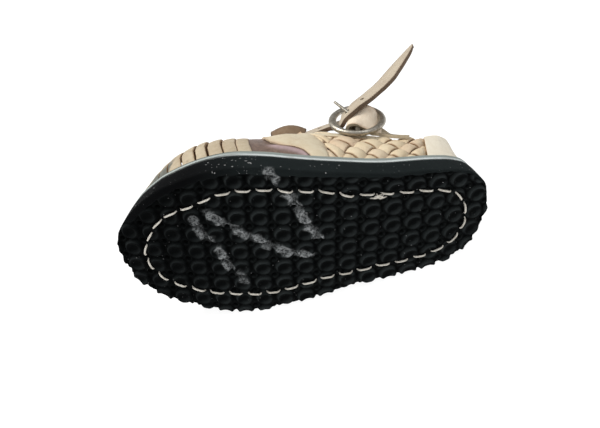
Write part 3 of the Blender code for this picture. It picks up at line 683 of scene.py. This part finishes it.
# Strips over the toe
# Flat tan strips of leather come up from under the sole's edge on both sides and cross the forefoot
# side by side. On top they go over and under the strips that run lengthwise.
tan_grain = leather("tan_strip", (0.50, 0.425, 0.305), (0.38, 0.305, 0.205), (0.19, 0.135, 0.085), 0.6,
                    edges=0.55, edge_colour=(0.34, 0.22, 0.12))
# The outer corner of the toe, low down, is coloured a dark grey-green.
tree = tan_grain.node_tree
shoe = on_shoe(tree)
x, y, z = (part_of(tree, shoe, axis) for axis in "XYZ")
grey_toe_corner = (x + 0.22 * (z - 16.0) + 1.6 * noise(tree, shoe, 0.5, 3.0)).clamp(41.3, 42.4) * y.clamp(9.0, 14.5)
grey_toe_corner = grey_toe_corner * (1.0 - (z + 6.0 * noise(tree, shoe, 0.3, 4.0)).clamp(25.0, 32.0))
shader = tree.nodes["Principled BSDF"]
plain_colour = Signal(tree, shader.inputs["Base Color"].links[0].from_socket)
connect(tree, Base_Color=mix(tree, grey_toe_corner * 0.92, plain_colour, (0.075, 0.083, 0.072)))
flesh_side = leather("flesh_side", (0.52, 0.38, 0.25), (0.40, 0.28, 0.17), (0.22, 0.15, 0.09), 0.5,
                     rough=0.8)
cut_edge = leather("cut_edge", (0.42, 0.29, 0.17), (0.28, 0.18, 0.10), (0.10, 0.065, 0.04), 0.7,
                   rough=0.8)
STRIP_FEET = [11.0, 16.2, 21.4, 27.0, 31.4, 36.5, 42.0]
STRIP_LEAN = 0.012
LENGTHWISE = 5
SLOT = 0.46
toe_end = float(share_at(STRIP_FEET[-1]))
toe_cuts = [toe_end * k / 6 for k in range(6)] + [float(share_at(x)) for x in STRIP_FEET[::-1]]


def rail(x):
    """Distance between the lengthwise strips at a place along the shoe."""
    return np.interp(x, [8, 25, 40, 46, 60], [6.6, 6.4, 5.2, 4.4, 3.6])


def over_under(share, row, side, number=None):
    """Height over the form of a crossing strip or, given its number, of a lengthwise strip."""
    spots = form(share, row, side)
    crossing = np.interp(share, toe_cuts, np.arange(len(toe_cuts)))
    phase = spots[..., 1] / rail(spots[..., 0])
    if number is not None:
        wave = -np.cos(np.pi * (crossing - 0.5)) * (1 if number % 2 == 0 else -1)
        return 0.25 + 0.62 * np.clip(1.3 * wave, -1, 1)
    wave = np.cos(np.pi * phase) * np.where(np.floor(crossing + 1e-6) % 2 == 0, 1.0, -1.0)
    woven = np.clip((LENGTHWISE / 2 + 0.15 - np.abs(phase)) / 0.5, 0, 1)
    return 0.55 * (1 - woven) + woven * (0.25 + 0.62 * np.clip(1.3 * wave, -1, 1)) + settled(spots)


def settled(spots):
    """How far the worn outer side stands above the form: pushed out at the toe, sunk behind it."""
    outer = np.clip((spots[..., 1] - 3) / 8, 0, 1) * np.clip((spots[..., 2] - 13) / 3, 0, 1)
    return outer * np.interp(spots[..., 0], [-7, 0, 6, 13, 18, 23, 28, 33, 41, 50],
                             [0.0, -0.5, -1.6, -1.6, -1.4, -0.9, 0.0, 0.5, 0.7, 0.3])


def over_both(low, high, count):
    """Rows that run up the outer side and down the inner one, and the side of each."""
    rows = np.concatenate([np.linspace(low, high, count), np.linspace(high, low, count)[1:]])
    return rows, np.concatenate([np.ones(count), -np.ones(count - 1)])


for k in range(len(toe_cuts) - 1):
    low, high = toe_cuts[k], toe_cuts[k + 1]
    half = SLOT / 2 / RUN_OUT[-1] * (0.2 if k > len(toe_cuts) - 4 else 1.0)
    low_gap = 0.35 * half if k == 0 else half
    over, sides = over_both(0.0, 1.0, 44)
    # The strips draw together a little above the sole, so that the gaps open into long triangles.
    pinch = 0.5 * np.sin(np.pi * np.clip(over, 0, 0.8) / 0.8) * half
    foot = np.clip(over / 0.08, 0, 1)
    share = np.linspace(0, 1, 7)
    width = high - low - (half + low_gap) * foot - 2 * pinch
    spread = (low + low_gap * foot + pinch)[:, None] + width[:, None] * share
    lean = STRIP_LEAN * np.clip(over / 0.2, 0, 1) * np.clip((0.75 - over) / 0.4, 0, 1) * min(1.0, k / 4)
    spread = spread - lean[:, None]
    rows, side = over[:, None] + 0 * spread, sides[:, None] + 0 * spread
    middle = np.repeat(spread[:, 3:4], 7, 1)
    spots, out = off_form(spread, rows, side, over_under(middle, rows, side))
    made = strip(f"toe_strip_{k + 1:02d}", spots, out, 1.15)
    lay_down(made, "upper", tan_grain, flesh_side, cut_edge, stands_for=["upper"] if k == 0 else ())

# Strips that run lengthwise over the forefoot
# Five softer strips start under the panel at the instep and weave through the crossing strips down
# to the toe, where they go under the sole's edge with the rest.


def form_tree():
    """The form as a mesh to lay strips on, and the share and row of each of its faces."""
    shares, rows = np.linspace(0, THROAT, 121), np.linspace(0, 1, 61)
    verts, faces, where = [], [], []
    for side in (1, -1):
        start = len(verts)
        grid = form(shares[:, None], rows[None, :], side)
        verts += [tuple(spot) for spot in grid.reshape(-1, 3)]
        for i in range(120):
            for r in range(60):
                a = start + i * 61 + r
                faces.append((a, a + 61, a + 62, a + 1))
                where.append((0.5 * (shares[i] + shares[i + 1]), 0.5 * (rows[r] + rows[r + 1]), side))
    return BVHTree.FromPolygons(verts, faces), np.array(where)


FORM, WHERE = form_tree()


def touch(x, y, turn):
    """Where a line towards the middle of the toe meets the form: the spot, its normal and its face."""
    way = Vector((math.cos(turn), 0.0, math.sin(turn)))
    hit, normal, face, _ = FORM.ray_cast(Vector((x, y, 13.0)) + 90 * way, -way)
    if hit is None:
        return None
    return np.array(hit), np.array(normal if normal.dot(way) > 0 else -normal), face


lengthwise_grain = leather("lengthwise_strip", (0.52, 0.43, 0.31), (0.41, 0.32, 0.215),
                           (0.20, 0.14, 0.09), 0.6, edges=0.5, edge_colour=(0.34, 0.22, 0.12))
for number in range(-2, 3):
    stations = [(x, math.pi / 2) for x in np.linspace(14.5, 32, 30)]
    stations += [(32.0, turn) for turn in np.linspace(math.pi / 2, -0.02, 46)[1:]]
    spots, out = [], []
    for x, turn in stations:
        here = touch(x, 0.0, turn)
        if here is None:
            continue
        width = float(rail(here[0][0]))
        row = [touch(x, width * (number + 0.43 * c), turn) for c in np.linspace(-1, 1, 7)]
        if any(item is None for item in row):
            continue
        share, at_row, side = WHERE[row[3][2]]
        height = float(over_under(share, at_row, side, number)) * min(1.0, (x + 1 - 14.5) / 3 + 0.2)
        normal = sum(item[1] for item in row)
        normal /= np.linalg.norm(normal)
        spots.append([item[0] + normal * height for item in row])
        out.append([normal] * 7)
    spots, out = np.array(spots), np.array(out)
    for _ in range(2):
        spots[1:-1] = 0.25 * spots[:-2] + 0.5 * spots[1:-1] + 0.25 * spots[2:]
    made = strip(f"lengthwise_strip_{number + 3}", spots, out, 1.0)
    lay_down(made, "upper", lengthwise_grain, flesh_side, cut_edge)

# Instep panel
# One wide piece of purple-brown leather between the toe strips and the front of the quarters. It has
# creased into soft folds, rubbed paler and pinkish along their tops.
panel_low, panel_high = float(share_at(12.6)), THROAT + 0.012
over, sides = over_both(0.0, 1.0, 60)
share = panel_low + (panel_high - panel_low) * np.linspace(0, 1, 41)[None, :] + 0 * over[:, None]
rows, side = over[:, None] + 0 * share, sides[:, None] + 0 * share
across = (share - panel_low) / (panel_high - panel_low)
lean = STRIP_LEAN * np.clip(rows / 0.2, 0, 1) * np.clip((0.75 - rows) / 0.4, 0, 1)
share = share - lean * np.clip((0.46 - share) / 0.04, 0, 1)
ridge = np.interp(share, [0.40, 0.44, 0.475, 0.505, 0.525, 0.54], [0.22, 0.185, 0.135, 0.105, 0.07, 0.0])
fold = np.exp(-((rows - ridge) / 0.035) ** 2) * np.clip((share - 0.425) / 0.04, 0.1, 1)
fold = fold + 0.7 * np.exp(-((rows - ridge - 0.30) / 0.05) ** 2)
dent = np.exp(-((rows - 0.45 * ridge + 0.01) / 0.022) ** 2) * np.clip((share - 0.44) / 0.03, 0, 1)
front = np.clip((share + lean - panel_low - 0.001) / 0.005, 0, 1)
spots, out = off_form(share, rows, side, -0.9 + front * (0.95 + 0.9 * fold - 0.5 * dent)
                      + settled(form(share, rows, side)))
panel = strip("instep_panel", spots, out, 1.2, crown=0.05, fold=fold)
purple_leather, tree = blank("purple_brown_leather", Specular_IOR_Level=0.4)
shoe, fold = on_shoe(tree), attribute(tree, "fold")
pinkish = (fold + 0.35 * (noise(tree, shoe, 0.35, 3.0, 0.5) - 0.5)).clamp(0.15, 0.9)
mottle = noise(tree, shoe, 0.6, 5.0, 0.65)
base = mix(tree, mottle.clamp(0.3, 0.7), (0.105, 0.067, 0.052), (0.20, 0.135, 0.105))
base = mix(tree, pinkish * (0.5 + 0.5 * mottle), base, (0.44, 0.325, 0.335))
pores = node(tree, "ShaderNodeTexVoronoi", {"feature": "SMOOTH_F1"}, {"Vector": shoe, "Scale": 1.6})
connect(tree, Base_Color=base, Roughness=0.42 + 0.25 * mottle,
        Normal=bump(tree, pores * 0.4 + noise(tree, shoe, 1.3, 6.0, 0.75), 0.5, 0.35))
lay_down(panel, "upper", purple_leather, flesh_side, cut_edge)

# Woven quarters
# Each side behind the panel is plaited from two sets of pale strips that run at 45 degrees, over one
# and under one, with the flat front band and the plain heel counter sewn over their ends.
WEAVE_PITCH = 5.3
WEAVE_HEIGHT = 16.4
weave_from, weave_to = float(share_at(-12.2)) * RUN_OUT[-1], float(share_at(-51.5)) * RUN_OUT[-1]
cream_grain = leather("cream_strip", (0.70, 0.60, 0.43), (0.60, 0.475, 0.31), (0.40, 0.24, 0.15), 0.5,
                      edges=0.9, edge_colour=(0.24, 0.145, 0.085))
blush_grain = leather("blush_strip", (0.66, 0.55, 0.395), (0.575, 0.435, 0.295), (0.38, 0.22, 0.145), 0.6,
                      edges=0.9, edge_colour=(0.24, 0.14, 0.085))
HALF_ROOT = math.sqrt(0.5)
SIDE_NAMES = {1: "outer", -1: "inner"}
for side in (1, -1):
    for family in (1, -1):
        # Along the strip t grows; across it a. Place from the toe s = (a + t)/sqrt 2, up the wall
        # w = (t - a)/sqrt 2 for one set, and mirrored top to bottom for the other.
        for number in range(0, 60):
            middle = (number + 0.5) * WEAVE_PITCH
            c = np.linspace(-1, 1, 7)
            a = middle + c * WEAVE_PITCH * 0.455
            low = np.maximum(a, weave_from / HALF_ROOT - a)
            high = np.minimum(WEAVE_HEIGHT / HALF_ROOT + a, weave_to / HALF_ROOT - a)
            if high[3] - low[3] < 1.2 or (high - low).min() < 0.2:
                continue
            steps = max(6, int((high[3] - low[3]) / 0.75))
            t = low + (high - low) * np.linspace(0, 1, steps + 1)[:, None]
            s, w = (a + t) * HALF_ROOT, (t - a) * HALF_ROOT
            up = w / WEAVE_HEIGHT if family > 0 else 1 - w / WEAVE_HEIGHT
            wave = np.sin(np.pi * (t - WEAVE_HEIGHT * HALF_ROOT) / WEAVE_PITCH)
            parity = 1 if number % 2 == 0 else -1
            rise = 0.40 + family * 0.90 * np.clip(1.25 * wave * parity, -1, 1)
            up = up * (1 - 0.14 * np.clip((s / RUN_OUT[-1] - 0.68) / 0.09, 0, 1))
            ends = np.clip((s - weave_from) / 3.0, 0, 1) * np.clip((weave_to - s) / 3.0, 0, 1)
            rise = rise * ends - 0.95 * (1 - ends)
            spots, out = off_form(s / RUN_OUT[-1], up, side, rise)
            name = f"quarter_{SIDE_NAMES[side]}_{'up' if family > 0 else 'down'}_{number:02d}"
            made = strip(name, spots, out, 1.0, bevel=0.22, crown=0.60)
            grain = cream_grain if (number + (family > 0)) % 3 else blush_grain
            lay_down(made, "upper", grain, flesh_side, cut_edge)

# Front band and collar strip
# A wide pale strip stands at the front of each quarter, from the sole up to the throat, and a narrower
# one runs back from it along the collar until the plaiting takes over.
band_grain = leather("band_leather", (0.63, 0.56, 0.42), (0.55, 0.455, 0.31), (0.38, 0.26, 0.17), 0.5,
                     edges=0.35, edge_colour=(0.45, 0.28, 0.17))
for side in (1, -1):
    rows = np.linspace(0.0, 1.0, 60)[:, None] + np.zeros((1, 21))
    c = np.linspace(0, 1, 21)[None, :]
    front = np.interp(rows, [0.0, 0.03, 0.09, 0.12, 0.14, 0.22, 0.30, 0.45, 1.0],
                      [0.543, 0.540, 0.525, 0.505, 0.478, 0.452, 0.444, 0.441, 0.444])
    back = np.interp(rows, [0, 0.1, 0.3, 0.7, 1.0], [0.586, 0.588, 0.594, 0.594, 0.602])
    share = front + (back - front) * c
    puff = 0.45 * np.sin(np.pi * np.clip(c * 1.1, 0, 1)) * np.sin(np.pi * np.clip(rows * 0.9 + 0.1, 0, 1))
    tuck = 0.75 * np.clip((c - 0.90) / 0.10, 0, 1)
    spots, out = off_form(share, rows, side, 1.55 + puff - tuck + settled(form(share, rows, side)))
    made = strip(f"front_band_{SIDE_NAMES[side]}", spots, out, 0.8, crown=0.35)
    lay_down(made, "upper", band_grain, flesh_side, band_grain)
    share = np.linspace(float(share_at(-14.0)), float(share_at(-40.0)), 60)[:, None] + np.zeros((1, 7))
    rows = np.linspace(0.80, 1.0, 7)[None, :] + 0 * share
    length = (share - share.min()) / (share.max() - share.min())
    sink = 1.5 * np.clip((length - 0.72) / 0.28, 0, 1) ** 1.5
    spots, out = off_form(share, rows, side, 0.75 + 0.4 * np.clip(length / 0.3, 0, 1) - sink)
    made = strip(f"collar_strip_{SIDE_NAMES[side]}", spots, out, 1.0, crown=0.25)
    lay_down(made, "upper", band_grain, flesh_side, cut_edge)

# Heel counter
# One plain piece of thick pale leather wraps the heel from side to side.
start = float(share_at(-50.0))
over, sides = over_both(start, 1.0, 40)
rows = np.linspace(0, 1, 31)[None, :] + np.zeros((79, 1))
share, side = over[:, None] + 0 * rows, sides[:, None] + 0 * rows
rows = rows * np.interp(share, [start, 0.854, 0.90, 1.0], [0.86, 0.95, 0.97, 1.0])
front = np.clip((share - start) / 0.012, 0, 1)
spots, out = off_form(share, rows, side, 0.95 - 0.10 * (1 - front))
counter = strip("heel_counter", spots, out, 1.5, crown=0.0, bevel=0.4)
counter_leather = leather("counter_leather", (0.82, 0.76, 0.63), (0.73, 0.65, 0.51),
                          (0.48, 0.36, 0.25), 0.4)
lay_down(counter, "upper", counter_leather, flesh_side, cut_edge)

# Ankle strap
# A thick strap leaves the inner side, arches over the instep, passes through the buckle and sticks up
# behind it to a cut point. Its grain side is greyish tan, its flesh side and edges are brown.
STRAP_THICK = 1.5
STRAP_WIDTH = 7.2
# Columns: shares of the length, of half the ball width and of the upper's height for the strap's
# middle, direction of its width, share of the strap's width, and how far its middle bulges, in mm.
STRAP_PATH = [
    (0.2571, -0.6677, 0.3324, 0.80, -0.17, -0.60, 1.00, 0.0),
    (0.2993, -0.6724, 0.5235, 0.80, -0.14, -0.60, 1.00, 0.0),
    (0.3492, -0.6803, 0.7294, 0.80, 0.10, -0.60, 1.06, 0.0),
    (0.4144, -0.5795, 0.9176, 0.85, 0.20, -0.45, 1.19, 0.0),
    (0.4758, -0.3622, 1.0471, 0.92, 0.30, -0.20, 1.33, -0.3),
    (0.5104, -0.0945, 1.1235, 0.98, 0.20, 0.00, 1.50, -0.6),
    (0.5205, 0.1900, 1.1850, 1.00, 0.04, 0.03, 1.68, -1.0),
    (0.5178, 0.3767, 1.1664, 1.00, -0.01, 0.07, 1.72, -1.8),
    (0.5135, 0.4457, 1.0483, 0.98, -0.10, 0.19, 1.60, -2.4),
    (0.5085, 0.3897, 0.9500, 0.86, -0.26, 0.45, 1.25, -1.0),
    (0.4927, 0.4109, 0.9089, 0.33, -0.48, 0.81, 0.85, 0.0),
    (0.4711, 0.4954, 0.9147, 0.09, -0.42, 0.90, 0.95, 0.0),
    (0.4388, 0.5440, 0.9122, 0.07, -0.37, 0.93, 1.00, 0.0),
    (0.3981, 0.5956, 0.9117, 0.07, -0.39, 0.92, 1.00, 0.0),
    (0.3705, 0.6663, 0.8506, 0.07, -0.41, 0.91, 1.00, 0.0),
    (0.3552, 0.7576, 0.8429, 0.13, -0.38, 0.92, 1.00, 0.0),
    (0.3235, 0.8582, 0.8792, 0.25, -0.31, 0.92, 1.00, 0.0),
    (0.2836, 0.9066, 0.9892, 0.29, -0.29, 0.91, 1.00, 0.0),
    (0.2374, 0.9822, 1.1193, 0.31, -0.29, 0.91, 1.00, 0.0),
    (0.1865, 1.0940, 1.3138, 0.35, -0.29, 0.89, 1.03, 0.0),
    (0.1346, 1.2019, 1.5430, 0.37, -0.28, 0.89, 0.94, 0.0),
]


def band_of(path, width, steps, points=9, tip=0, wander=0.0):
    """Spots across a ribbon along a path of shares, their normals, and its middle, in mm."""
    data = np.array(path)
    data[:, 0] = HEEL_END + data[:, 0] * SOLE_LENGTH
    data[:, 1] *= HALF_BALL
    data[:, 2] = FEATHER_HEIGHT + data[:, 2] * UPPER_HEIGHT
    curve = smooth_curve(data, steps)
    middle, across, widths = curve[:, :3], curve[:, 3:6], curve[:, 6] * width / 2
    ahead = np.gradient(middle, axis=0)
    ahead /= np.linalg.norm(ahead, axis=1)[:, None]
    across = across - ahead * np.sum(across * ahead, 1)[:, None]
    across /= np.linalg.norm(across, axis=1)[:, None]
    if tip:
        left = (len(curve) - 1 - np.arange(len(curve))) / tip
        widths = widths * np.where(left < 1, 0.12 + 0.88 * np.clip(left, 0, 1) ** 0.7, 1)
    out = np.cross(ahead, across)
    share = np.linspace(-1, 1, points)
    number = np.arange(len(curve))
    waver = wander * (np.sin(number * 0.45) + 0.6 * np.sin(number * 1.13 + 1))
    ragged = 1 + waver[:, None] * np.sign(share)
    spots = middle[:, None] + (widths[:, None] * share * ragged)[..., None] * across[:, None]
    if data.shape[1] > 7:
        spots = spots + (curve[:, 7:8] * (1 - share**2))[..., None] * out[:, None]
    return spots, np.repeat(out[:, None], points, 1), middle


def thick_ribbon(name, spots, out, thick, bevel=0.3, crown=0.12):
    """A ribbon with its middle at the spots."""
    return strip(name, spots + out * thick / 2, out, thick, bevel=bevel, crown=crown)


def cut_away(made, name, start, end, radius):
    """Takes a round rod between two spots in mm out of the piece."""
    start, end = Vector(start), Vector(end)
    axis = end - start
    bpy.ops.object.select_all(action="DESELECT")
    bpy.ops.mesh.primitive_cylinder_add(
        vertices=20, radius=radius * MM, depth=axis.length * MM, location=(start + end) / 2 * MM,
        rotation=axis.to_track_quat("Z", "Y").to_euler())
    cutter = bpy.context.object
    cutter.name = name
    change = made.modifiers.new(name, "BOOLEAN")
    change.operation, change.solver, change.object = "DIFFERENCE", "EXACT", cutter
    apply_modifiers(made)
    bpy.data.objects.remove(cutter)


RING_CENTRE = np.array([HEEL_END + 0.3239 * SOLE_LENGTH, 0.7213 * HALF_BALL,
                        FEATHER_HEIGHT + 0.8 * UPPER_HEIGHT])
RING_RADIUS = 9.0
PRONG_START = RING_CENTRE + RING_RADIUS * np.array([0.144, 0.178, 0.022])
PRONG_END = RING_CENTRE + RING_RADIUS * np.array([0.833, 0.522, 0.722])
spots, out, middle = band_of(STRAP_PATH, STRAP_WIDTH, 9, tip=15, wander=0.02)
strap_leather = leather("strap_leather", (0.50, 0.43, 0.33), (0.40, 0.33, 0.25), (0.20, 0.13, 0.08), 0.5,
                        edges=0.65, edge_colour=(0.14, 0.085, 0.05))
strap_flesh = leather("strap_flesh_side", (0.225, 0.155, 0.095), (0.155, 0.10, 0.06),
                      (0.075, 0.048, 0.03), 0.5, rough=0.8)
strap_edge = leather("strap_cut_edge", (0.17, 0.115, 0.075), (0.10, 0.065, 0.04), (0.05, 0.03, 0.02),
                     0.6, rough=0.8)
strap = thick_ribbon("ankle_strap_leather", spots, out, STRAP_THICK)
for material in (strap_leather, strap_flesh, strap_edge):
    strap.data.materials.append(material)
run = run_along(middle)
to_prong = run[int(np.argmin(np.linalg.norm(middle - (PRONG_START + PRONG_END) / 2, axis=1)))]
along = PRONG_END - PRONG_START
cut_away(strap, "prong_hole", PRONG_START - along * 0.2, PRONG_END + along * 0.4, 1.1)
for step in (-2, -1, 1):
    k = int(np.argmin(np.abs(run - (to_prong + 7.0 * step))))
    cut_away(strap, "punched_hole", middle[k] - 2.0 * out[k, 4], middle[k] + 2.0 * out[k, 4], 0.85)
lay_down(strap, "ankle_strap", stands_for=["ankle_strap"])
# Its inner end is pressed flat where the shoe rests on it.
spots = spots_of(strap.data)
spots[:, 2] = np.maximum(spots[:, 2], 0.02 * MM)
move_spots(strap.data, spots)

# Buckle's loop of leather
# A pale strip folded round the buckle's bar, with a slot for the prong, runs back along the collar.
CHAPE_PATH = [
    (0.1899, 0.6065, 0.5450, 0.02, -0.46, 0.89, 0.50), (0.2198, 0.6040, 0.5750, 0.02, -0.46, 0.89, 0.50),
    (0.2468, 0.6000, 0.6250, 0.00, -0.40, 0.91, 0.58), (0.2735, 0.6060, 0.7100, 0.00, -0.12, 0.99, 0.78),
    (0.3001, 0.6425, 0.7794, -0.05, 0.00, 1.00, 0.92), (0.3270, 0.6583, 0.7823, -0.20, 0.00, 0.98, 1.00),
    (0.3422, 0.6772, 0.7823, -0.28, 0.00, 0.96, 1.02), (0.3476, 0.7213, 0.7823, -0.28, 0.00, 0.96, 1.02),
    (0.3410, 0.7700, 0.7780, -0.26, 0.05, 0.96, 1.00), (0.3231, 0.7950, 0.7730, -0.20, 0.20, 0.96, 1.02),
    (0.3039, 0.7850, 0.7600, -0.12, 0.42, 0.90, 1.02), (0.2860, 0.7400, 0.7450, -0.05, 0.50, 0.86, 1.00),
    (0.2713, 0.6800, 0.7450, 0.00, 0.45, 0.88, 0.92), (0.2605, 0.6350, 0.7450, 0.00, 0.30, 0.94, 0.80),
]
spots, out, _ = band_of(CHAPE_PATH, 10.0, 7)
chape = thick_ribbon("buckle_loop_leather", spots, out, 1.1, bevel=0.25)
pale_leather = leather("pale_loop_leather", (0.84, 0.74, 0.60), (0.72, 0.585, 0.44),
                       (0.40, 0.25, 0.15), 0.45, edges=0.5, edge_colour=(0.42, 0.25, 0.14))
loop_flesh = leather("loop_flesh_side", (0.46, 0.39, 0.28), (0.36, 0.29, 0.19), (0.18, 0.12, 0.07),
                     0.5, rough=0.8)
for material in (pale_leather, loop_flesh, loop_flesh):
    chape.data.materials.append(material)
cut_away(chape, "prong_slot", PRONG_START - along * 0.2, PRONG_END + along * 0.4, 1.1)
lay_down(chape, "buckle_chape", stands_for=["buckle_chape"])

# Buckle
# A round wire frame with a bar across it, and a prong bent round the bar. The plating is dull and
# worn to a yellowish grey.
RING_WIRE = 1.1
BAR_SHIFT = 0.7
BAR_RADIUS = 0.9
nickel, tree = blank("dull_nickel", Metallic=1.0)
shoe = on_shoe(tree)
smudges, scratches = noise(tree, shoe, 0.7, 4.0, 0.6), noise(tree, shoe, 4.0, 3.0, 0.8)
base = mix(tree, smudges.clamp(0.35, 0.7), (0.47, 0.44, 0.38), (0.28, 0.25, 0.20))
connect(tree, Base_Color=mix(tree, scratches.clamp(0.62, 0.70) * 0.5, base, (0.62, 0.60, 0.55)),
        Roughness=0.26 + 0.30 * smudges, Normal=bump(tree, scratches, 0.25, 0.1))
bpy.ops.object.select_all(action="DESELECT")
bpy.ops.mesh.primitive_torus_add(
    major_radius=RING_RADIUS * MM, minor_radius=RING_WIRE * MM, major_segments=96, minor_segments=20,
    location=RING_CENTRE * MM, rotation=(math.radians(90), 0, 0))
ring = bpy.context.object
ring.name = "buckle_ring"
bpy.ops.object.transform_apply(location=True, rotation=True, scale=True)
# The wire is flattened, and widest at the two ends of the strap's way through it.
spots = spots_of(ring.data) / MM - RING_CENTRE
reach = np.hypot(spots[:, 0], spots[:, 2])
wide = 1 + 0.30 * (np.abs(spots[:, 0]) / reach) ** 2 - 0.22 * (np.abs(spots[:, 2]) / reach) ** 2
spots[:, [0, 2]] *= ((RING_RADIUS + (reach - RING_RADIUS) * wide) / reach)[:, None]
move_spots(ring.data, (spots + RING_CENTRE) * MM)
reach = math.sqrt(RING_RADIUS**2 - BAR_SHIFT**2) - 0.2
bar_middle = RING_CENTRE + [BAR_SHIFT, 0, 0]
bpy.ops.mesh.primitive_cylinder_add(
    vertices=24, radius=BAR_RADIUS * MM, depth=2 * reach * MM, location=bar_middle * MM)
bar = bpy.context.object
bpy.ops.object.transform_apply(location=True, rotation=True, scale=True)
bpy.ops.object.select_all(action="DESELECT")
bar.select_set(True)
ring.select_set(True)
bpy.context.view_layer.objects.active = ring
bpy.ops.object.join()
lay_down(ring, "buckle_frame", nickel, sharp=40.0, stands_for=["buckle_frame"])
turn = np.linspace(math.radians(-250), math.radians(60), 22)
hook = bar_middle + 1.55 * np.stack([np.cos(turn), np.sin(turn), 0 * turn], -1)
hook[:, 2] = PRONG_START[2] + 0.1 * np.linspace(-1, 0, 22)
shank = PRONG_START + (PRONG_END - PRONG_START) * np.linspace(0, 1, 14)[:, None]
way = np.vstack([hook[:-2], shank[1:]])
way = np.vstack([way[:1], 0.25 * way[:-2] + 0.5 * way[1:-1] + 0.25 * way[2:], way[-1:]])
sizes = np.concatenate([np.full(len(way) - 10, 0.66), np.linspace(0.66, 0.46, 10)])
prong = tube("buckle_tongue", [way], [sizes], sides=14)
lay_down(prong, "buckle_prong", nickel, stands_for=["buckle_prong"])

# Table top, light and camera
# The shoe lies on a plain white table under soft light from above. The camera looks at the tread and
# the outer side, rolled a little.
bpy.ops.object.select_all(action="DESELECT")
bpy.ops.mesh.primitive_plane_add(size=6.0)
table = bpy.context.object
table.name = "table_top"
white_board, tree = blank("white_board", Roughness=0.9, Specular_IOR_Level=0.0, Emission_Strength=0.93,
                          Emission_Color=(1.0, 1.0, 1.0, 1.0))
spot = node(tree, "ShaderNodeTexCoord", out="Object")
connect(tree, Base_Color=mix(tree, noise(tree, spot, 4.0), (0.20, 0.20, 0.20), (0.22, 0.22, 0.22)))
table.data.materials.append(white_board)


def lamp(name, spot, aim, size, power, colour=(1, 1, 1)):
    made = bpy.data.lights.new(name, "AREA")
    made.size, made.energy, made.color = size, power, colour
    held = bpy.data.objects.new(name, made)
    held.location = spot
    held.rotation_euler = (Vector(aim) - Vector(spot)).to_track_quat("-Z", "Y").to_euler()
    bpy.context.scene.collection.objects.link(held)


lamp("key", (-0.42, 0.10, 0.70), (0, 0, 0.03), 0.32, 6.0, (1.0, 0.99, 0.97))
lamp("fill", (0.40, -0.25, 0.75), (0, 0, 0.03), 0.4, 1.4, (0.97, 0.98, 1.0))
world = bpy.data.worlds.new("soft_room")
bpy.context.scene.world = world
world.use_nodes = True
world.node_tree.nodes["Background"].inputs["Color"].default_value = (1, 1, 1, 1)
world.node_tree.nodes["Background"].inputs["Strength"].default_value = 0.42
bpy.context.scene.view_settings.view_transform = "Standard"

PHOTO_WIDTH = 600
FOCAL_PIXELS = 659.921
SENSOR_WIDTH = 36.0
CAMERA_SPOT = Vector((-1.0570384, 147.1312392, -168.7966527))
CAMERA_RIGHT = Vector((-0.9960887, -0.0647882, -0.0600809))
CAMERA_DOWN = Vector((0.0881123, -0.7790635, -0.6207224))
CAMERA_AHEAD = Vector((-0.0065914, -0.6235885, 0.7817250))
camera = bpy.data.objects.new("camera", bpy.data.cameras.new("camera"))
camera.data.sensor_width = SENSOR_WIDTH
camera.data.lens = FOCAL_PIXELS / PHOTO_WIDTH * SENSOR_WIDTH
camera.data.clip_start, camera.data.clip_end = 0.01, 10.0
turned = Matrix((CAMERA_RIGHT, -CAMERA_DOWN, -CAMERA_AHEAD)).transposed().to_4x4()
camera.matrix_world = LYING @ Matrix.Translation(CAMERA_SPOT * MM) @ turned
bpy.context.scene.collection.objects.link(camera)
bpy.context.scene.camera = camera
